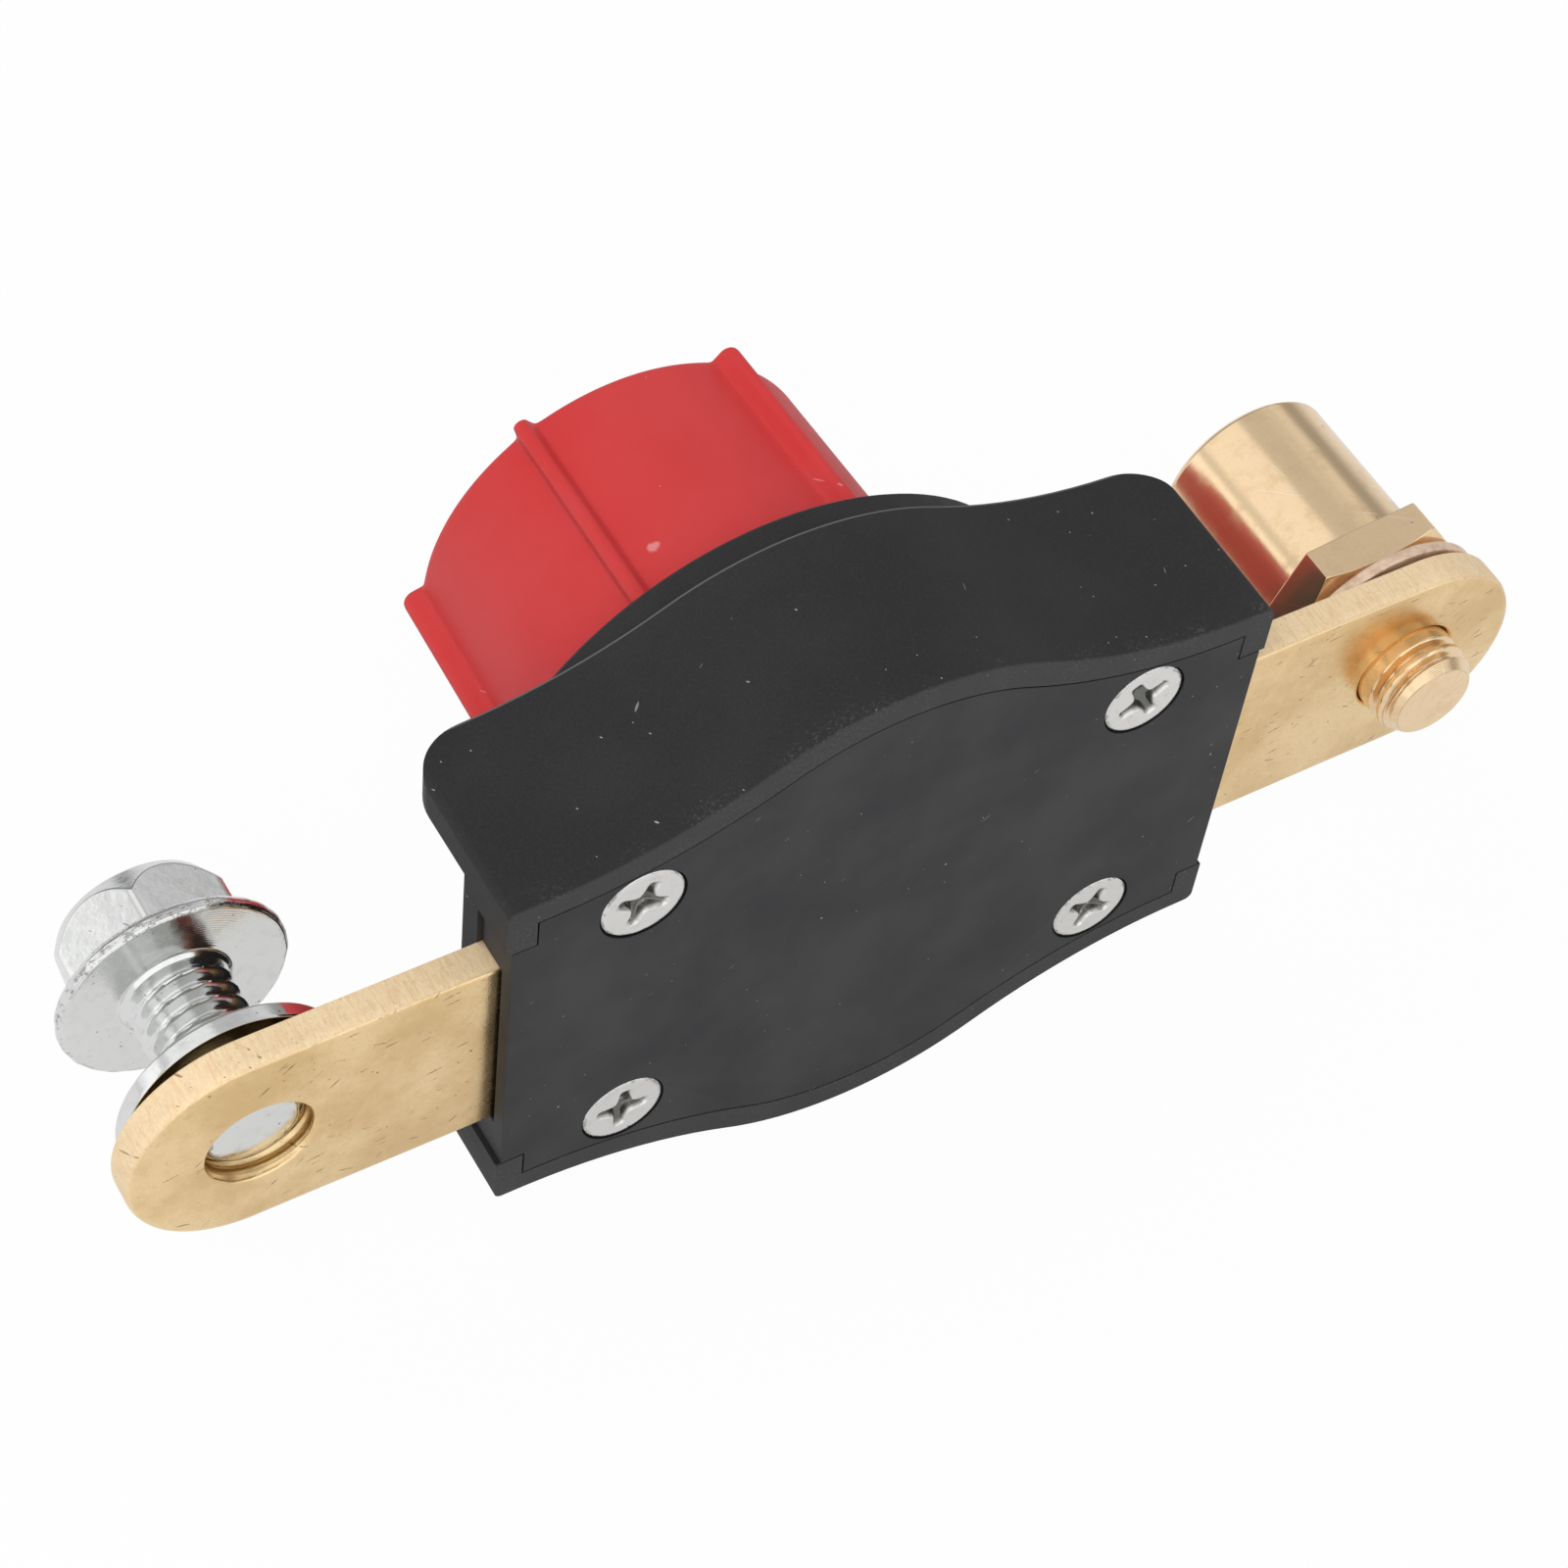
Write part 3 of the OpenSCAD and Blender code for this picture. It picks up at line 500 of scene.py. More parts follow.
def finish(name):
    """The finished material of that name, made when it is first asked for."""
    if name not in FINISHES:
        plastic = bpy.context.scene.switch_plastic
        metal = bpy.context.scene.switch_metal
        maker, *given = {
            "shell": (moulded_plastic, "shell_black", plastic.shell, plastic.rubbed_and_highlight, 3.4, 0.08,
                      1.0),
            "cover": (moulded_plastic, "cover_black", plastic.cover, plastic.rubbed_and_highlight, 0.0, 0.3,
                      0.8),
            "knob": (knob_plastic, plastic.knob, KNOB_NICK),
            "bar": (bar_brass, metal.bar_face, metal.bar_edge),
            "turned": (turned_brass, metal.turned),
            "bronze": (bronze_strip, metal.bronze),
            "zinc": (plated_steel, "zinc_plate", metal.zinc, 0.05, 0.11),
            "nickel": (plated_steel, "nickel_plate", metal.nickel, 0.03, 0.2),
            "spring": (plain, "spring_steel", (0.5, 0.51, 0.53), 0.3, True),
            "white": (plain, "white_nylon", (0.72, 0.7, 0.64), 0.4),
            "rubber": (plain, "seal_rubber", (0.02, 0.02, 0.02), 0.6),
        }[name]
        FINISHES[name] = maker(*given)
    return FINISHES[name]


# Surfaces

def needed_rings(rings, values):
    """The numbers of the rings that a shape needs. A ring is left out where it and its values
    lie on straight lines between its neighbours, within a few thousandths of a millimetre.
    The rings beside a corner stay, so that the shading turns at the corner only."""
    whole = np.concatenate([rings] + [given[..., None] for given in values], -1)
    off, last = 0.003, len(rings) - 1
    ends = [0]
    while ends[-1] < last:
        start, end = ends[-1], ends[-1] + 1
        while end < last:
            way = whole[end + 1] - whole[start]
            between = whole[start + 1:end + 1] - whole[start]
            share = (between * way).sum(-1) / np.maximum((way ** 2).sum(-1), 1e-12)
            stray = between - np.clip(share, 0, 1)[..., None] * way
            if (stray ** 2).sum(-1).max() > off ** 2:
                break
            end += 1
        ends.append(end)
    beside = [end + step for end in ends for step in (-1, 0, 1)]
    return sorted(set(np.clip(beside, 0, last).tolist()))


def mesh_from_rings(rings, looped=False, values=None):
    """A closed mesh from rings of points, given as an array of rings by points by three, in
    millimetres. Each point joins its neighbours round the ring and on the next ring. The
    last ring joins the first if looped, and otherwise both end rings close on their centres.
    values holds named numbers for each point of each ring."""
    rings = np.asarray(rings, float)
    values = {key: np.broadcast_to(given, rings.shape[:2])
              for key, given in (values or {}).items()}
    needed = needed_rings(rings, list(values.values()))
    rings = rings[needed]
    count, around = rings.shape[:2]
    points = rings.reshape(-1, 3) * MM
    steps = np.arange(count if looped else count - 1)[:, None]
    turn = np.arange(around)[None, :]
    a = steps * around + turn
    b = steps * around + (turn + 1) % around
    c = (steps + 1) % count * around + (turn + 1) % around
    d = (steps + 1) % count * around + turn
    quads = np.stack([a, b, c, d], -1).reshape(-1, 4)
    triangles = np.empty((0, 3), int)
    if not looped:
        ends = np.array([rings[0].mean(0), rings[-1].mean(0)]) * MM
        first, last = len(points), len(points) + 1
        points = np.vstack([points, ends])
        t = turn[0]
        start = np.stack([np.full(around, first), (t + 1) % around, t], -1)
        base = (count - 1) * around
        finish_fan = np.stack([np.full(around, last), base + t, base + (t + 1) % around], -1)
        triangles = np.vstack([start, finish_fan])
    if signed_volume(points, quads, triangles) < 0:
        quads, triangles = quads[:, ::-1], triangles[:, ::-1]
    corners = np.concatenate([quads.ravel(), triangles.ravel()])
    sizes = np.concatenate([np.full(len(quads), 4), np.full(len(triangles), 3)])
    starts = np.concatenate([[0], np.cumsum(sizes)[:-1]])
    mesh = bpy.data.meshes.new("rings")
    mesh.vertices.add(len(points))
    mesh.vertices.foreach_set("co", points.ravel())
    mesh.loops.add(len(corners))
    mesh.loops.foreach_set("vertex_index", corners)
    mesh.polygons.add(len(sizes))
    mesh.polygons.foreach_set("loop_start", starts)
    for key, given in values.items():
        layer = mesh.attributes.new(key, "FLOAT", "POINT")
        flat = given[needed].ravel()
        extra = [] if looped else [flat[0], flat[-1]]
        layer.data.foreach_set("value", np.concatenate([flat, extra]))
    mesh.update(calc_edges=True)
    mesh.validate()
    return mesh


def signed_volume(points, quads, triangles):
    """A sixth of the summed triple products of all triangles: positive if faces point out."""
    every = np.vstack([quads[:, [0, 1, 2]], quads[:, [0, 2, 3]], triangles])
    p, q, r = points[every[:, 0]], points[every[:, 1]], points[every[:, 2]]
    return float((p * np.cross(q, r)).sum()) / 6


def joined(meshes):
    """Several meshes as one, with their named numbers kept."""
    whole = bmesh.new()
    for mesh in meshes:
        whole.from_mesh(mesh)
    result = bpy.data.meshes.new("joined")
    whole.to_mesh(result)
    whole.free()
    return result


def place_piece(node, kind, mesh, body, look):
    """Puts a mesh in the scene in the place of a CAD node, with its finish and with smooth
    shading up to an angle."""
    sharp = 35
    name = node + "_" + kind
    mesh.name = name
    mesh.polygons.foreach_set("use_smooth", [True] * len(mesh.polygons))
    mesh.set_sharp_from_angle(angle=math.radians(sharp))
    mesh.materials.clear()
    mesh.materials.append(finish(look))
    piece = bpy.data.objects.new(name, mesh)
    bpy.context.scene.collection.objects.link(piece)
    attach(piece, body)
    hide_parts(node)
    return piece


def meridian(stations, step, soft):
    """A chain of straight stretches through stations of radius and height, either of which
    may be an array round the axis. It is cut into steps, and its corners are rounded by
    averaging each point twice with its neighbours within soft, so a longer soft is a
    rounder corner."""
    around = max(np.size(v) for s in stations for v in s)
    path = np.array([[np.broadcast_to(v, around) for v in s] for s in stations], float)
    parts = []
    for first, last in zip(path[:-1], path[1:]):
        length = np.hypot(*(last - first)).max()
        count = max(2, int(math.ceil(length / step)))
        t = (np.arange(count) / count)[:, None, None]
        parts.append(first + (last - first) * t)
    parts.append(path[-1:])
    line = np.concatenate(parts)
    half = max(1, int(round(soft / step / 2)))
    for _ in range(2):
        total = np.concatenate([np.zeros((1, 2, around)), np.cumsum(line, 0)])
        index = np.arange(len(line))
        reach = np.minimum(half, np.minimum(index, len(line) - 1 - index))
        width = (2 * reach + 1)[:, None, None]
        line = (total[index + reach + 1] - total[index - reach]) / width
    return line[:, 0], line[:, 1]


def threaded(radius, height, theta, low, high, pitch, depth, inside=False, fade=0.9,
             crest=0.12):
    """The radius with a thread cut in it between two heights: the groove's depth is a raised
    cosine of the angle plus the height over the pitch, and it fades at both ends. crest is
    the share of the wave that stays uncut, and a negative one gives narrow crests between
    wide round valleys."""
    turns = height / pitch - theta / TAU
    wave = 0.5 - 0.5 * np.cos(TAU * turns)
    groove = wave ** (1 + crest) if crest < 0 else np.clip((wave - crest) / 0.8, 0, 1)
    ease = np.clip((height - low) / fade, 0, 1) * np.clip((high - height) / fade, 0, 1)
    return radius + (depth if inside else -depth) * groove * ease * ease * (3 - 2 * ease)


def round_y(radius, height, theta, x, z):
    """Rings about an axis along Y: X and Z from the radius and the angle, Y the height."""
    return np.stack([x + radius * np.cos(theta), height + 0 * theta,
                     z - radius * np.sin(theta)], -1)


def angles(count):
    return np.arange(count) * TAU / count


def hexagon(theta, across, turned, corner):
    """Distance from the axis to a hexagon, whose corners are cut by a soft minimum with a
    circle a little inside them."""
    flat = across / 2 / np.cos((theta - turned) % (math.pi / 3) - math.pi / 6)
    limit = across / math.sqrt(3) - corner
    sharp = 26.0
    return -np.log(np.exp(-sharp * flat) + np.exp(-sharp * limit)) / sharp


def merged_copy(node, ledge=None):
    """A copy of a CAD node with its loose triangles merged and its flat faces joined. A ledge
    of a hundredth of a millimetre round each hole, at the height ledge, is closed up."""
    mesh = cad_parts[node].data.copy()
    work = bmesh.new()
    work.from_mesh(mesh)
    bmesh.ops.remove_doubles(work, verts=work.verts, dist=0.004 * MM)
    if ledge:
        near = [v for v in work.verts if abs(v.co.y - ledge * MM) < 0.05 * MM]
        bmesh.ops.remove_doubles(work, verts=near, dist=0.02 * MM)
    bmesh.ops.dissolve_degenerate(work, edges=work.edges, dist=0.004 * MM)
    bmesh.ops.dissolve_limit(work, angle_limit=math.radians(0.6), verts=work.verts,
                             edges=work.edges, use_dissolve_boundaries=False)
    work.to_mesh(mesh)
    work.free()
    return mesh


def bevel_edges(piece, edge, segments=2, sharp=28):
    """Rounds a piece's sharp edges with a live Bevel, with its faces' shading kept flat."""
    bevel = piece.modifiers.new("edge", "BEVEL")
    bevel.width = edge
    bevel.segments = segments
    bevel.limit_method = "ANGLE"
    bevel.angle_limit = math.radians(sharp)
    bevel.use_clamp_overlap = True
    bevel.harden_normals = True


# Operators: one for each piece or group of like pieces

class SWITCH_OT_housing(bpy.types.Operator):
    """Makes the shell and its cover with rounded moulded edges"""
    bl_idname = "switch.housing"
    bl_label = "Housing"

    def execute(self, context):
        edge = context.scene.switch_plastic.edge
        for node, look, ledge in (("housing_shell", "shell", None),
                                  ("bottom_cover", "cover", COUNTERSINK)):
            piece = place_piece(node, "moulded", merged_copy(node, ledge), "housing", look)
            bevel_edges(piece, edge)
        return {"FINISHED"}


def bar_mesh(side, hole_x, hole_r, pitch):
    """A bar as one grid that is closed both ways. Its points go round the outline, spaced
    evenly along it, and each cross-section runs from the hole's wall over one face, round
    the edge and back over the other face. The outline is a rectangle with a half circle.
    The battery side's edge is drawn over in a wide round, as a shear leaves it."""
    half = BAR_HIGH[2]
    inner, tip = BAR_LOW[0], BAR_HIGH[0]
    centre = tip - half
    straight = centre - inner
    stretches = [half, straight, math.pi * half, straight, half]
    along = np.linspace(0, sum(stretches), 480, endpoint=False)
    marks = np.cumsum([0] + stretches)
    arc = (along - marks[2]) / half
    stages = [along < mark for mark in marks[1:5]]
    x = np.select(stages, [inner + 0 * along, inner + along - marks[1],
                           centre + half * np.sin(arc), centre - (along - marks[3])], inner)
    z = np.select(stages, [along, half + 0 * along, half * np.cos(arc), -half + 0 * along],
                  along - marks[5])
    away = np.hypot(x - hole_x, z)
    theta = np.arctan2(z, x - hole_x)
    low, high = BAR_LOW[1], BAR_HIGH[1]
    lip = hole_r + 0.3
    drawn = 0.45
    stations = [(hole_r, (low + high) / 2), (hole_r, low + 0.3), (lip, low),
                (away - 1.6 * drawn, low), (away - 0.5 * drawn, low + 0.3 * drawn),
                (away, low + 1.5 * drawn), (away, high), (hole_r, high),
                (hole_r, (low + high) / 2)]
    radius, height = meridian(stations, 0.12, 0.3)
    if pitch:
        radius = np.where(
            radius < lip + 0.2,
            threaded(radius, height, theta, low + 0.1, high, pitch, 0.3, inside=True,
                     fade=0.3), radius)
    cut = np.clip((radius - (away - 0.4)) / 0.3, 0, 1)
    rings = np.stack([side * (hole_x + radius * np.cos(theta)), height,
                      radius * np.sin(theta)], -1)
    return mesh_from_rings(rings[:-1], looped=True, values={"cut": cut[:-1]})


class SWITCH_OT_bars(bpy.types.Operator):
    """Makes the two brass bars, the one for the terminal bolt with its tapped hole"""
    bl_idname = "switch.bars"
    bl_label = "Bars"

    def execute(self, context):
        pitch = context.scene.switch_threads.bolt_pitch / MM
        for node, side, hole_x, hole_r, thread in (
                ("bolt_bar", -1, -BOLT_X, 4.76, pitch), ("post_bar", 1, POST_X, 5.0, None)):
            mesh = bar_mesh(side, hole_x, hole_r, thread)
            place_piece(node, "strip", mesh, "housing", "bar")
        return {"FINISHED"}


class SWITCH_OT_terminal_bolt(bpy.types.Operator):
    """Makes the plated flange bolt with its rolled thread"""
    bl_idname = "switch.terminal_bolt"
    bl_label = "Terminal bolt"

    def execute(self, context):
        sizes = context.scene.switch_threads
        theta = angles(sizes.around) + BOLT_TURN
        tip, top = BOLT_LOW[1], BOLT_HIGH[1]
        flange_r = (BOLT_HIGH[0] - BOLT_LOW[0]) / 2
        head_tall = 8.4
        under = top - head_tall
        across, thread_r = 15.0, 4.68
        sides = hexagon(theta, across, BOLT_TURN, 0.06)
        crown = across / 2 - 0.5
        past = sides - crown
        shoulder = top - 0.1 - 1.2 * past - 0.4 * past ** 2
        foot = under + 2.3 - (sides - across / 2) * 0.5
        stations = [
            (0.01, top - 0.25), (crown * 0.55, top - 0.2), (crown * 0.7, top), (crown, top),
            (sides, shoulder), (sides, foot), (flange_r - 0.25, under + 1.3),
            (flange_r, under + 0.85), (flange_r, under + 0.3), (flange_r - 0.3, under),
            (thread_r + 0.5, under), (thread_r, under - 0.5), (thread_r, tip + 0.7),
            (thread_r - 0.65, tip), (0.01, tip)]
        radius, height = meridian(stations, 0.1, 0.24)
        cut = threaded(radius, height, theta, tip + 0.1, under + 0.2,
                       sizes.bolt_pitch / MM, sizes.depth / MM * 1.15, crest=-0.2)
        radius = np.where((radius < thread_r + 0.05) & (height < under), cut, radius)
        turning = np.where(np.abs(height - under) < 0.1, radius, 0)
        worn = np.clip((radius - flange_r + 0.6) / 0.4, 0, 1)
        dents = sum(np.sin(n * theta + n) for n in (7, 11, 17, 29)) * 0.018
        radius = radius - (dents + 0.07) * worn
        worn = np.maximum(worn, np.clip(1 - (height - tip) / 0.4, 0, 1) * (radius > 3.6))
        rings = round_y(radius, height, theta, BOLT_X, 0)
        mesh = mesh_from_rings(rings, values={"turning": turning, "worn": worn})
        place_piece("terminal_bolt", "plated", mesh, "bolt", "zinc")
        return {"FINISHED"}


class SWITCH_OT_washers(bpy.types.Operator):
    """Makes the loose flat washer and the split washer under the post"""
    bl_idname = "switch.washers"
    bl_label = "Washers"

    def execute(self, context):
        theta = angles(context.scene.switch_threads.around)
        self.flat_washer(theta)
        self.split_washer()
        return {"FINISHED"}

    def flat_washer(self, theta):
        outer, hole, thick, lean = 10.25, 5.3, 1.7, math.radians(5)
        stations = [(hole, 0), (outer, 0), (outer, thick), (hole, thick), (hole, 0)]
        radius, height = meridian(stations, 0.12, 0.3)
        rings = round_y(radius, height, theta, 0, 0)[:-1]
        turn = np.array(Matrix.Rotation(-lean, 3, "X"))
        middle = (WASHER_LOW + WASHER_HIGH) / 2
        axis = turn @ np.array([0, thick / 2, 0])
        rings = rings @ turn.T + (middle - axis)
        turning = np.where(radius > hole + 0.5, radius, 0)[:-1] + 0 * theta
        mesh = mesh_from_rings(rings, looped=True, values={"turning": turning})
        place_piece("flat_washer", "plated", mesh, "housing", "zinc")

    def split_washer(self):
        """A rounded rectangle that is carried round a circle while it falls. Its raised end
        lies at 40 degrees from X towards Z, and its low end 6 degrees before that."""
        inner, outer, thick = 5.45, SPRING_HIGH[2], 1.2
        low, high = SPRING_LOW[1], SPRING_HIGH[1]
        corners = [(inner, 0), (outer, 0), (outer, thick), (inner, thick), (inner, 0)]
        radius, height = meridian(corners, 0.14, 0.28)
        radius, height = radius[:-1, 0], height[:-1, 0]
        turn = np.radians(np.linspace(40, 394, 240))[:, None]
        fall = (turn[-1] - turn) / (turn[-1] - turn[0]) * (high - low - thick)
        rings = np.stack([POST_X + radius * np.cos(turn), low + height + fall,
                          radius * np.sin(turn)], -1)
        place_piece("spring_washer", "pressed", mesh_from_rings(rings), "housing", "bronze")


class SWITCH_OT_cable_post(bpy.types.Operator):
    """Makes the turned brass post with its hexagon, thread and tapped socket"""
    bl_idname = "switch.cable_post"
    bl_label = "Cable post"

    def execute(self, context):
        sizes = context.scene.switch_threads
        theta = angles(sizes.around) + POST_TURN
        tip, end = POST_LOW[1], POST_HIGH[1]
        barrel, thread_r, bore = 9.0, 4.95, 4.0
        across = 20.6
        seat = SPRING_HIGH[1] + 0.05
        hex_top = seat + 4.2
        floor = end - 13
        sides = hexagon(theta, across, POST_TURN, 0.02)
        flat = across / 2 - 0.4
        stations = [
            (0.01, floor - 1.6), (bore, floor), (bore, end - 0.9), (bore + 0.9, end),
            (barrel - 0.5, end), (barrel, end - 0.5), (barrel, hex_top), (flat, hex_top),
            (sides, hex_top), (sides, seat + 0.45 * (sides - flat)), (flat, seat),
            (thread_r + 0.1, seat), (thread_r, seat - 0.4), (thread_r, tip + 1.5),
            (thread_r - 1.0, tip), (0.01, tip)]
        radius, height = meridian(stations, 0.1, 0.16)
        inside = (radius < bore + 0.05) & (height > floor - 0.1)
        radius = np.where(inside, threaded(
            radius, height, theta, floor, end - 0.2, sizes.bolt_pitch / MM, 0.6,
            inside=True), radius)
        cone = (height < tip + 1.5) & (height > tip + 0.05)
        turning = np.where(cone, height, 0)
        outside = (radius < thread_r + 0.05) & (height < seat - 0.4)
        radius = np.where(outside, threaded(
            radius, height, theta, tip + 0.5, BAR_LOW[1] - 0.9, sizes.post_pitch / MM,
            sizes.depth / MM, fade=0.7, crest=0.2), radius)
        rings = round_y(radius, height, theta, POST_X, 0)
        mesh = mesh_from_rings(rings, values={"turning": turning})
        place_piece("cable_post", "turned", mesh, "housing", "turned")
        return {"FINISHED"}


def cross_recess(x, z, reach, deep):
    """Depth of a cross recess at a point of a screw's face: two crossing wings, each
    widening in a curve towards the middle, with steep walls and a floor that rises in a
    straight slope from the middle to the wings' tips."""
    def wing(along, across):
        half = 0.17 * reach + 0.24 * reach * np.exp(-(np.abs(along) / (0.3 * reach)) ** 2)
        inside = np.clip((half - np.abs(across)) / 0.5 + 0.5, 0, 1)
        tip = np.clip((reach - np.abs(along)) / 0.5, 0, 1)
        return inside * tip
    cover = np.maximum(wing(x, z), wing(z, x))
    distance = np.hypot(x, z) / reach
    floor = deep * np.clip(1.05 - 0.75 * distance, 0, 1)
    return floor * cover * cover * (3 - 2 * cover)


def screw_mesh(stations, reach, deep, turned, centre, out):
    """A screw with a cross recess. The recess is pressed into the face's fine rings as a
    depth, and the rest is a turned profile. out is the side that the face looks to."""
    theta = angles(240)
    face_r, face_y = stations[0]
    inner = np.linspace(0.02, reach * 1.06, 64)[:, None] + 0 * theta
    x, z = inner * np.cos(theta - turned), inner * np.sin(theta - turned)
    pressed = cross_recess(x, z, reach, deep)
    face = face_y - pressed
    radius, height = meridian([(reach * 1.06 + 0.02, face_y)] + stations, 0.1, 0.16)
    pressed = np.vstack([pressed / pressed.max(), 0 * radius + 0 * theta])
    radius = np.vstack([inner, radius + 0 * theta])
    height = np.vstack([face, height + 0 * theta])
    rings = round_y(radius, centre[1] + out * height, theta, centre[0], centre[2])
    turning = np.where(height > -0.05, 0.35 * radius, 0)
    worn = np.where(height > -0.3, np.clip((radius - face_r + 0.1) / 0.2, 0, 1), 0)
    return mesh_from_rings(rings, values={
        "turning": turning, "worn": worn, "pressed": pressed})


class SWITCH_OT_screws(bpy.types.Operator):
    """Makes the four cover screws and the knob's screw, each with its cross recess"""
    bl_idname = "switch.screws"
    bl_label = "Screws"

    def execute(self, context):
        head, shank, face = 3.95, 1.9, SCREWS_LOW[1]
        tall = SCREWS_HIGH[1]
        profile = [(head - 0.35, 0), (head - 0.05, -0.12), (head, -0.3),
                   (shank, -0.3 - (head - shank)), (shank, 1 - tall),
                   (shank / 2, -tall + face), (0.01, -tall + face)]
        across_x = SCREWS_HIGH[0] - head
        across_z = SCREWS_HIGH[2] - head
        heads = [
            screw_mesh(profile, 2.7, 1.2, math.radians(turn),
                       (side_x * across_x, face, side_z * across_z), -1)
            for (side_x, side_z), turn in SCREW_TURNS.items()]
        place_piece("cover_screws", "plated", joined(heads), "housing", "nickel")
        top, low = KNOB_SCREW_HIGH[1], KNOB_SCREW_LOW[1]
        head, shank, thick = KNOB_SCREW_HIGH[0], 1.95, 2.4
        profile = [(head - 1.1, 0), (head - 0.3, -0.4), (head, -1.0), (head, -thick),
                   (shank, -thick), (shank, low - top + 0.6), (shank - 0.5, low - top),
                   (0.01, low - top)]
        mesh = screw_mesh(profile, 2.2, 1.5, math.radians(30), (0, top, 0), 1)
        place_piece("knob_screw", "plated", mesh, "switch", "nickel")
        return {"FINISHED"}


def ribbed(theta, wall, stands_out, count):
    """Distance from the knob's axis to its outline: the wall's radius plus a rib's height.
    A rib is a round crest whose tangents run down as straight flanks, and a soft maximum
    with nothing gives the fillets at its foot."""
    spacing = TAU / count
    aside = np.abs((theta + spacing / 2) % spacing - spacing / 2) * (wall + 1)
    crest_r, slope, fillet = 0.75, 4.3, 0.9
    centre = stands_out - crest_r
    secant = math.hypot(1, slope)
    crest = centre + np.sqrt(np.clip(crest_r ** 2 - aside ** 2, 0, None))
    flank = centre + crest_r * secant - slope * aside
    rib = np.where(aside < crest_r * slope / secant, crest, flank)
    return wall + (rib + np.sqrt(rib ** 2 + fillet ** 2)) / 2 - 0.06


class SWITCH_OT_knob(bpy.types.Operator):
    """Makes the red knob with its draft, its ribs, hollow underside and screw recess"""
    bl_idname = "switch.knob"
    bl_label = "Knob"

    def execute(self, context):
        low, high = KNOB_LOW[1], KNOB_HIGH[1]
        stands_out, count = 1.9, 6
        foot = KNOB_HIGH[0] - stands_out
        taper = (high - low) * math.tan(math.radians(1.9))
        even = angles(960)
        spacing = TAU / count
        near = np.round(even / spacing) * spacing
        theta = near + (even - near) * (0.35 + 0.65 * np.abs(even - near) / (spacing / 2))
        outline = ribbed(theta, foot, stands_out, count)
        top, rim, hub, well = 3.0, 2.2, 8.6, 4.8
        head_y = high - 5.3
        socket_y = head_y - 2.6
        socket = 4.05 / np.maximum(np.abs(np.cos(theta)), np.abs(np.sin(theta)))
        hole = 2.15
        stations = [
            (hole, socket_y), (hole, head_y), (well, head_y), (well, high),
            (foot - taper - 1.5, high), (outline - taper - 0.4, high),
            (outline - taper, high - 0.4), (outline, low + 0.15), (outline - 0.15, low),
            (foot - rim, low), (foot - taper - rim, high - top), (hub, high - top),
            (hub, low), (socket, low), (socket, socket_y), (hole, socket_y)]
        radius, height = meridian(stations, 0.3, 0.6)
        rings = round_y(radius, height, theta, 0, 0)[:-1]
        place_piece("knob", "moulded", mesh_from_rings(rings, looped=True), "switch", "knob")
        return {"FINISHED"}


class SWITCH_OT_inner_pieces(bpy.types.Operator):
    """Gives the pieces inside the housing their finishes"""
    bl_idname = "switch.inner_pieces"
    bl_label = "Inner pieces"

    def execute(self, context):
        looks = {"rotor": "white", "thrust_washer": "white", "shaft_seal": "rubber",
                 "contact_bridge": "bronze", "contact_spring": "spring",
                 "detent_balls": "spring", "detent_springs": "spring",
                 "stop_pin": "spring", "knob_screw_washer": "spring"}
        for node, look in looks.items():
            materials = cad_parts[node].data.materials
            materials.clear()
            materials.append(finish(look))
        return {"FINISHED"}


# Stage

def view_axes(place):
    """The camera's right, up and backward directions from its angles."""
    turn, rise, roll = place.azimuth, place.elevation, place.roll
    back = Vector((-math.cos(rise) * math.sin(turn), -math.cos(rise) * math.cos(turn),
                   math.sin(rise)))
    right = (-back).cross(Vector((0, 0, 1))).normalized()
    up = right.cross(-back)
    rolled = math.cos(roll) * right + math.sin(roll) * up
    return rolled, math.cos(roll) * up - math.sin(roll) * right, back


def soft_lamp(name, at, aim, size, power):
    """A square area lamp at a place, turned towards a point. It lights the object but isn't
    mirrored in it: the world gives all reflections."""
    data = bpy.data.lights.new(name, "AREA")
    data.size = size
    data.energy = power
    lamp = bpy.data.objects.new(name, data)
    bpy.context.scene.collection.objects.link(lamp)
    lamp.location = at
    lamp.rotation_euler = (Vector(aim) - Vector(at)).to_track_quat("-Z", "Y").to_euler()
    lamp.visible_glossy = False


def studio_world():
    """A white room: pure white to the camera, a plain level of light on the object, and in
    reflections a ring of sheets about Y, a bright sheet on the cover's side and a dark one
    on the knob's side."""
    world = bpy.data.worlds.new("studio")
    bpy.context.scene.world = world
    world.use_nodes = True
    g = Graph(world.node_tree)
    x, y, z = g.parts(g.node("TexCoord", {}, output="Generated"))
    about = z.math("ARCTAN2", z, x)
    ramp = g.nodes.new("ShaderNodeValToRGB")
    stops = ramp.color_ramp.elements
    while len(stops) < len(SHEETS):
        stops.new(1.0)
    for stop, (degrees, level) in zip(stops, SHEETS):
        stop.position = 0.5 + degrees / 360
        stop.color = (level, level, level, 1)
    g.feed(ramp.inputs[0], about / TAU + 0.5)
    glossy = g.node("LightPath", {}, output="Is Glossy Ray")
    camera = g.node("LightPath", {}, output="Is Camera Ray")
    sheet = g.mix(y.above(-0.58, -0.7), Value(g, ramp.outputs[0]), (1.25, 1.25, 1.25, 1))
    sheet = g.mix(y.above(0.66, 0.8), sheet, (0.3, 0.3, 0.3, 1))
    light = g.mix(glossy, (0.5, 0.5, 0.51, 1), sheet)
    seen = g.mix(camera, light, (1, 1, 1, 1))
    g.feed(g.nodes["Background"].inputs["Color"], seen)


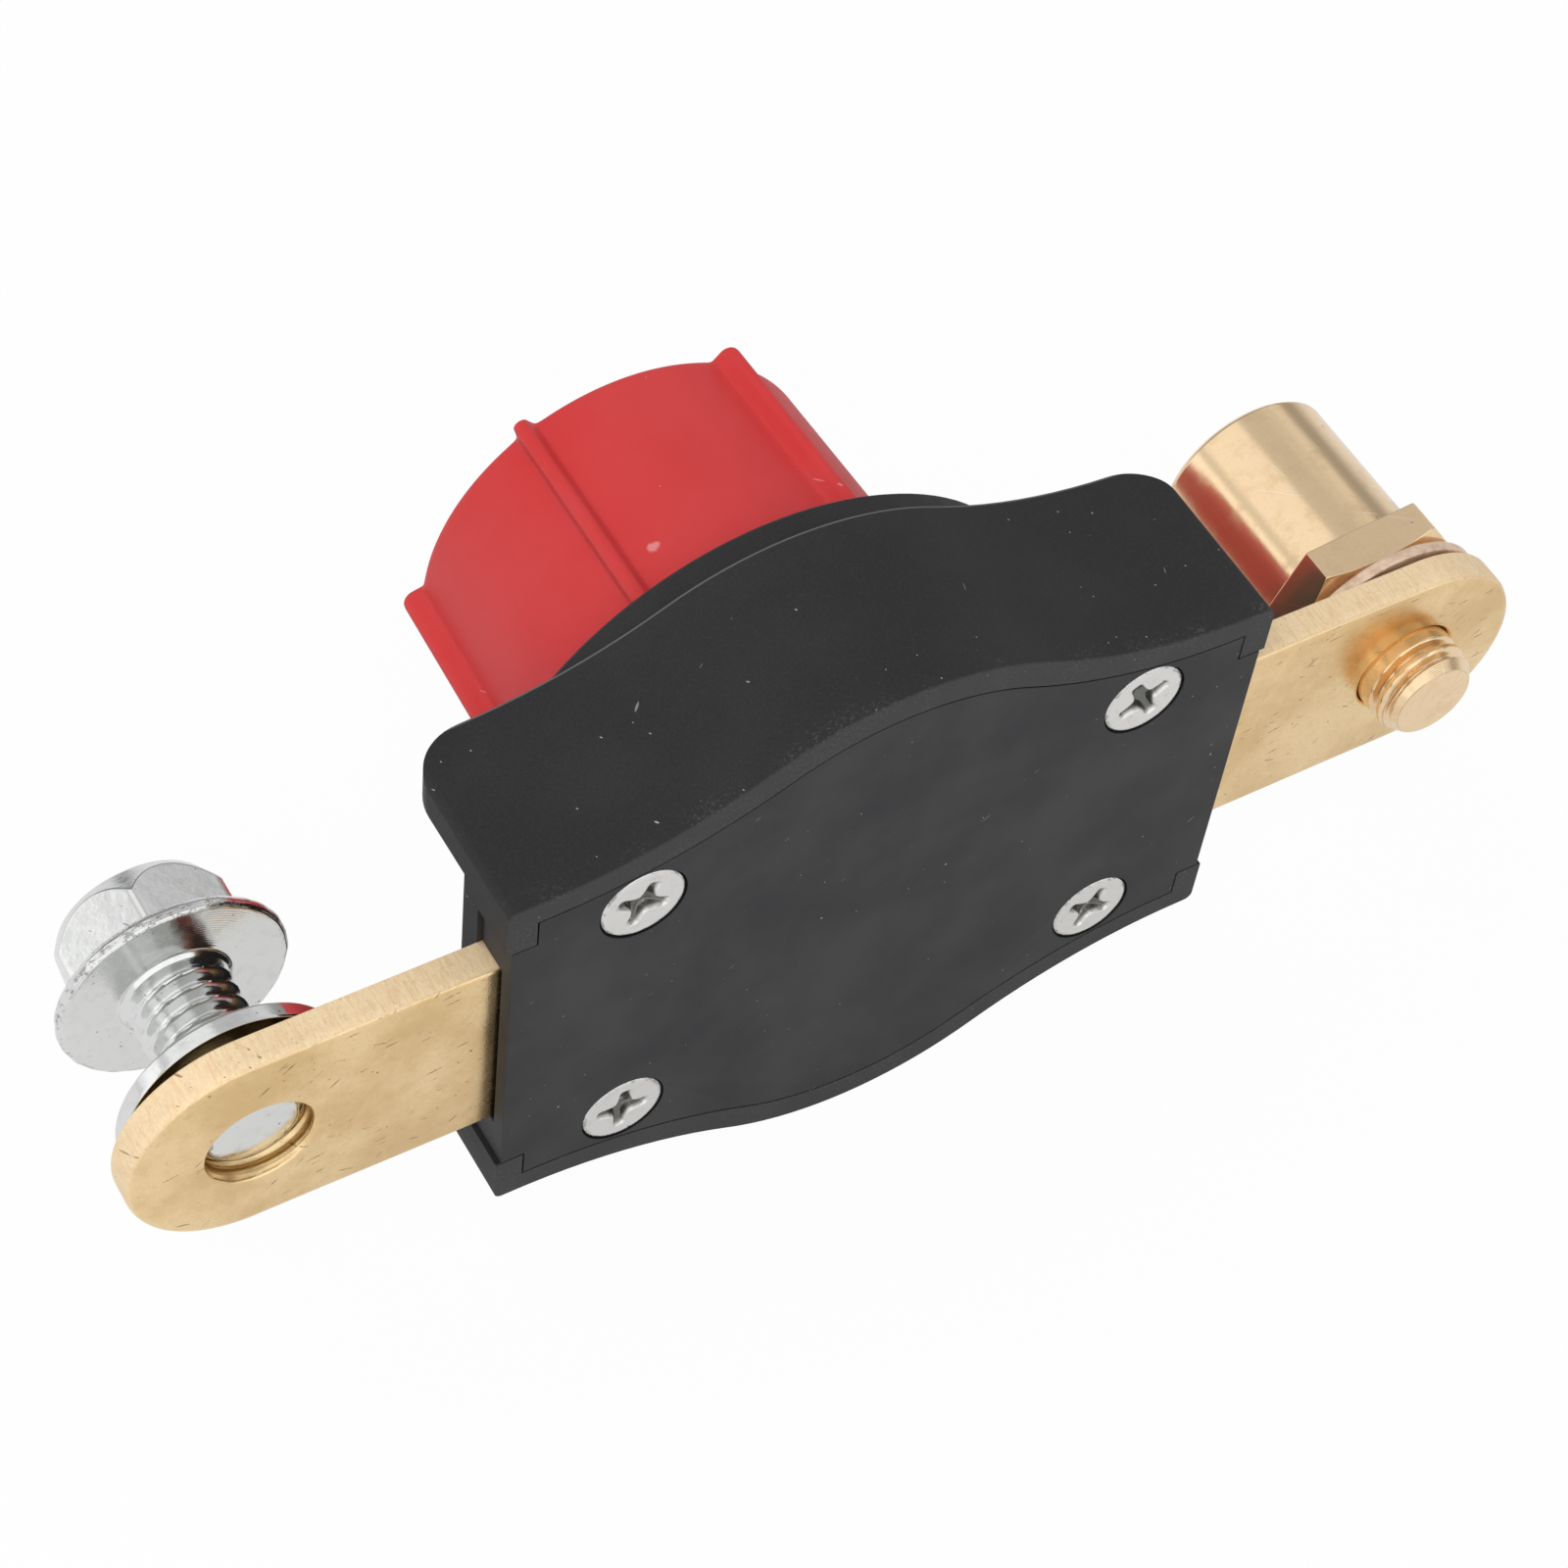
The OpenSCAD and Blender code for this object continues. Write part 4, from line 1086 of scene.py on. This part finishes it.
def floor_finish():
    """White floor that keeps the shadow: plain paint mixed with white of its own for the
    camera and for reflections."""
    f = Finish("floor_white")
    camera = f.node("LightPath", {}, output="Is Camera Ray")
    glossy = f.node("LightPath", {}, output="Is Glossy Ray")
    paint = f.node("BsdfDiffuse", {}, (0.82, 0.82, 0.82, 1))
    glow = f.node("Emission", {}, (1, 1, 1, 1))
    share = f.held(camera * 0.965 + glossy * 0.4)
    f.feed(f.nodes["Material Output"].inputs["Surface"],
           f.node("MixShader", {}, share, paint, glow))
    f.nodes.remove(f.shader)
    return f.material


class SWITCH_OT_stage(bpy.types.Operator):
    """Sets up the camera, the lamps, the world and the pale floor"""
    bl_idname = "switch.stage"
    bl_label = "Stage"

    def execute(self, context):
        scene = context.scene
        place = scene.switch_camera
        right, up, back = view_axes(place)
        data = bpy.data.cameras.new("camera")
        data.lens = place.lens
        data.sensor_width = 36
        data.clip_start = 0.01
        camera = bpy.data.objects.new("camera", data)
        scene.collection.objects.link(camera)
        turn = Matrix((right, up, back)).transposed().to_4x4()
        where = Vector(place.target) + back * place.distance
        camera.matrix_world = Matrix.Translation(where) @ turn
        scene.camera = camera
        level = CAD_BOX[0][2] - 0.4 * MM
        size = 4.0
        corners = [(x * size, y * size, level) for x, y in ((-1, -1), (1, -1), (1, 1), (-1, 1))]
        mesh = bpy.data.meshes.new("floor")
        mesh.from_pydata(corners, [], [(0, 1, 2, 3)])
        mesh.materials.append(floor_finish())
        floor = bpy.data.objects.new("floor", mesh)
        scene.collection.objects.link(floor)
        for name, at, size, power in LAMPS:
            soft_lamp(name, at, LAMP_AIM, size, power)
        studio_world()
        scene.view_settings.view_transform = "Standard"
        return {"FINISHED"}


class SWITCH_PT_panel(bpy.types.Panel):
    """Lists the settings and the operators in the 3D view's sidebar"""
    bl_label = "Disconnect switch"
    bl_idname = "SWITCH_PT_panel"
    bl_space_type = "VIEW_3D"
    bl_region_type = "UI"
    bl_category = "Switch"

    def draw(self, context):
        scene = context.scene
        for group in (scene.switch_plastic, scene.switch_metal, scene.switch_threads,
                      scene.switch_camera):
            box = self.layout.box()
            for name in group.__annotations__:
                box.prop(group, name)
        for operator in OPERATORS:
            self.layout.operator(operator.bl_idname)


GROUPS = {"switch_plastic": PlasticLook, "switch_metal": MetalLook,
          "switch_threads": ThreadSizes, "switch_camera": CameraPlace}
OPERATORS = (SWITCH_OT_stage, SWITCH_OT_housing, SWITCH_OT_bars, SWITCH_OT_terminal_bolt,
             SWITCH_OT_washers, SWITCH_OT_cable_post, SWITCH_OT_screws, SWITCH_OT_knob,
             SWITCH_OT_inner_pieces)


def register():
    for name, group in GROUPS.items():
        bpy.utils.register_class(group)
        setattr(bpy.types.Scene, name, PointerProperty(type=group))
    for operator in OPERATORS:
        bpy.utils.register_class(operator)
    bpy.utils.register_class(SWITCH_PT_panel)


def unregister():
    bpy.utils.unregister_class(SWITCH_PT_panel)
    for operator in reversed(OPERATORS):
        bpy.utils.unregister_class(operator)
    for name, group in GROUPS.items():
        delattr(bpy.types.Scene, name)
        bpy.utils.unregister_class(group)


def main():
    register()
    for operator in OPERATORS:
        prefix, name = operator.bl_idname.split(".")
        getattr(getattr(bpy.ops, prefix), name)()


if __name__ == "__main__":
    main()
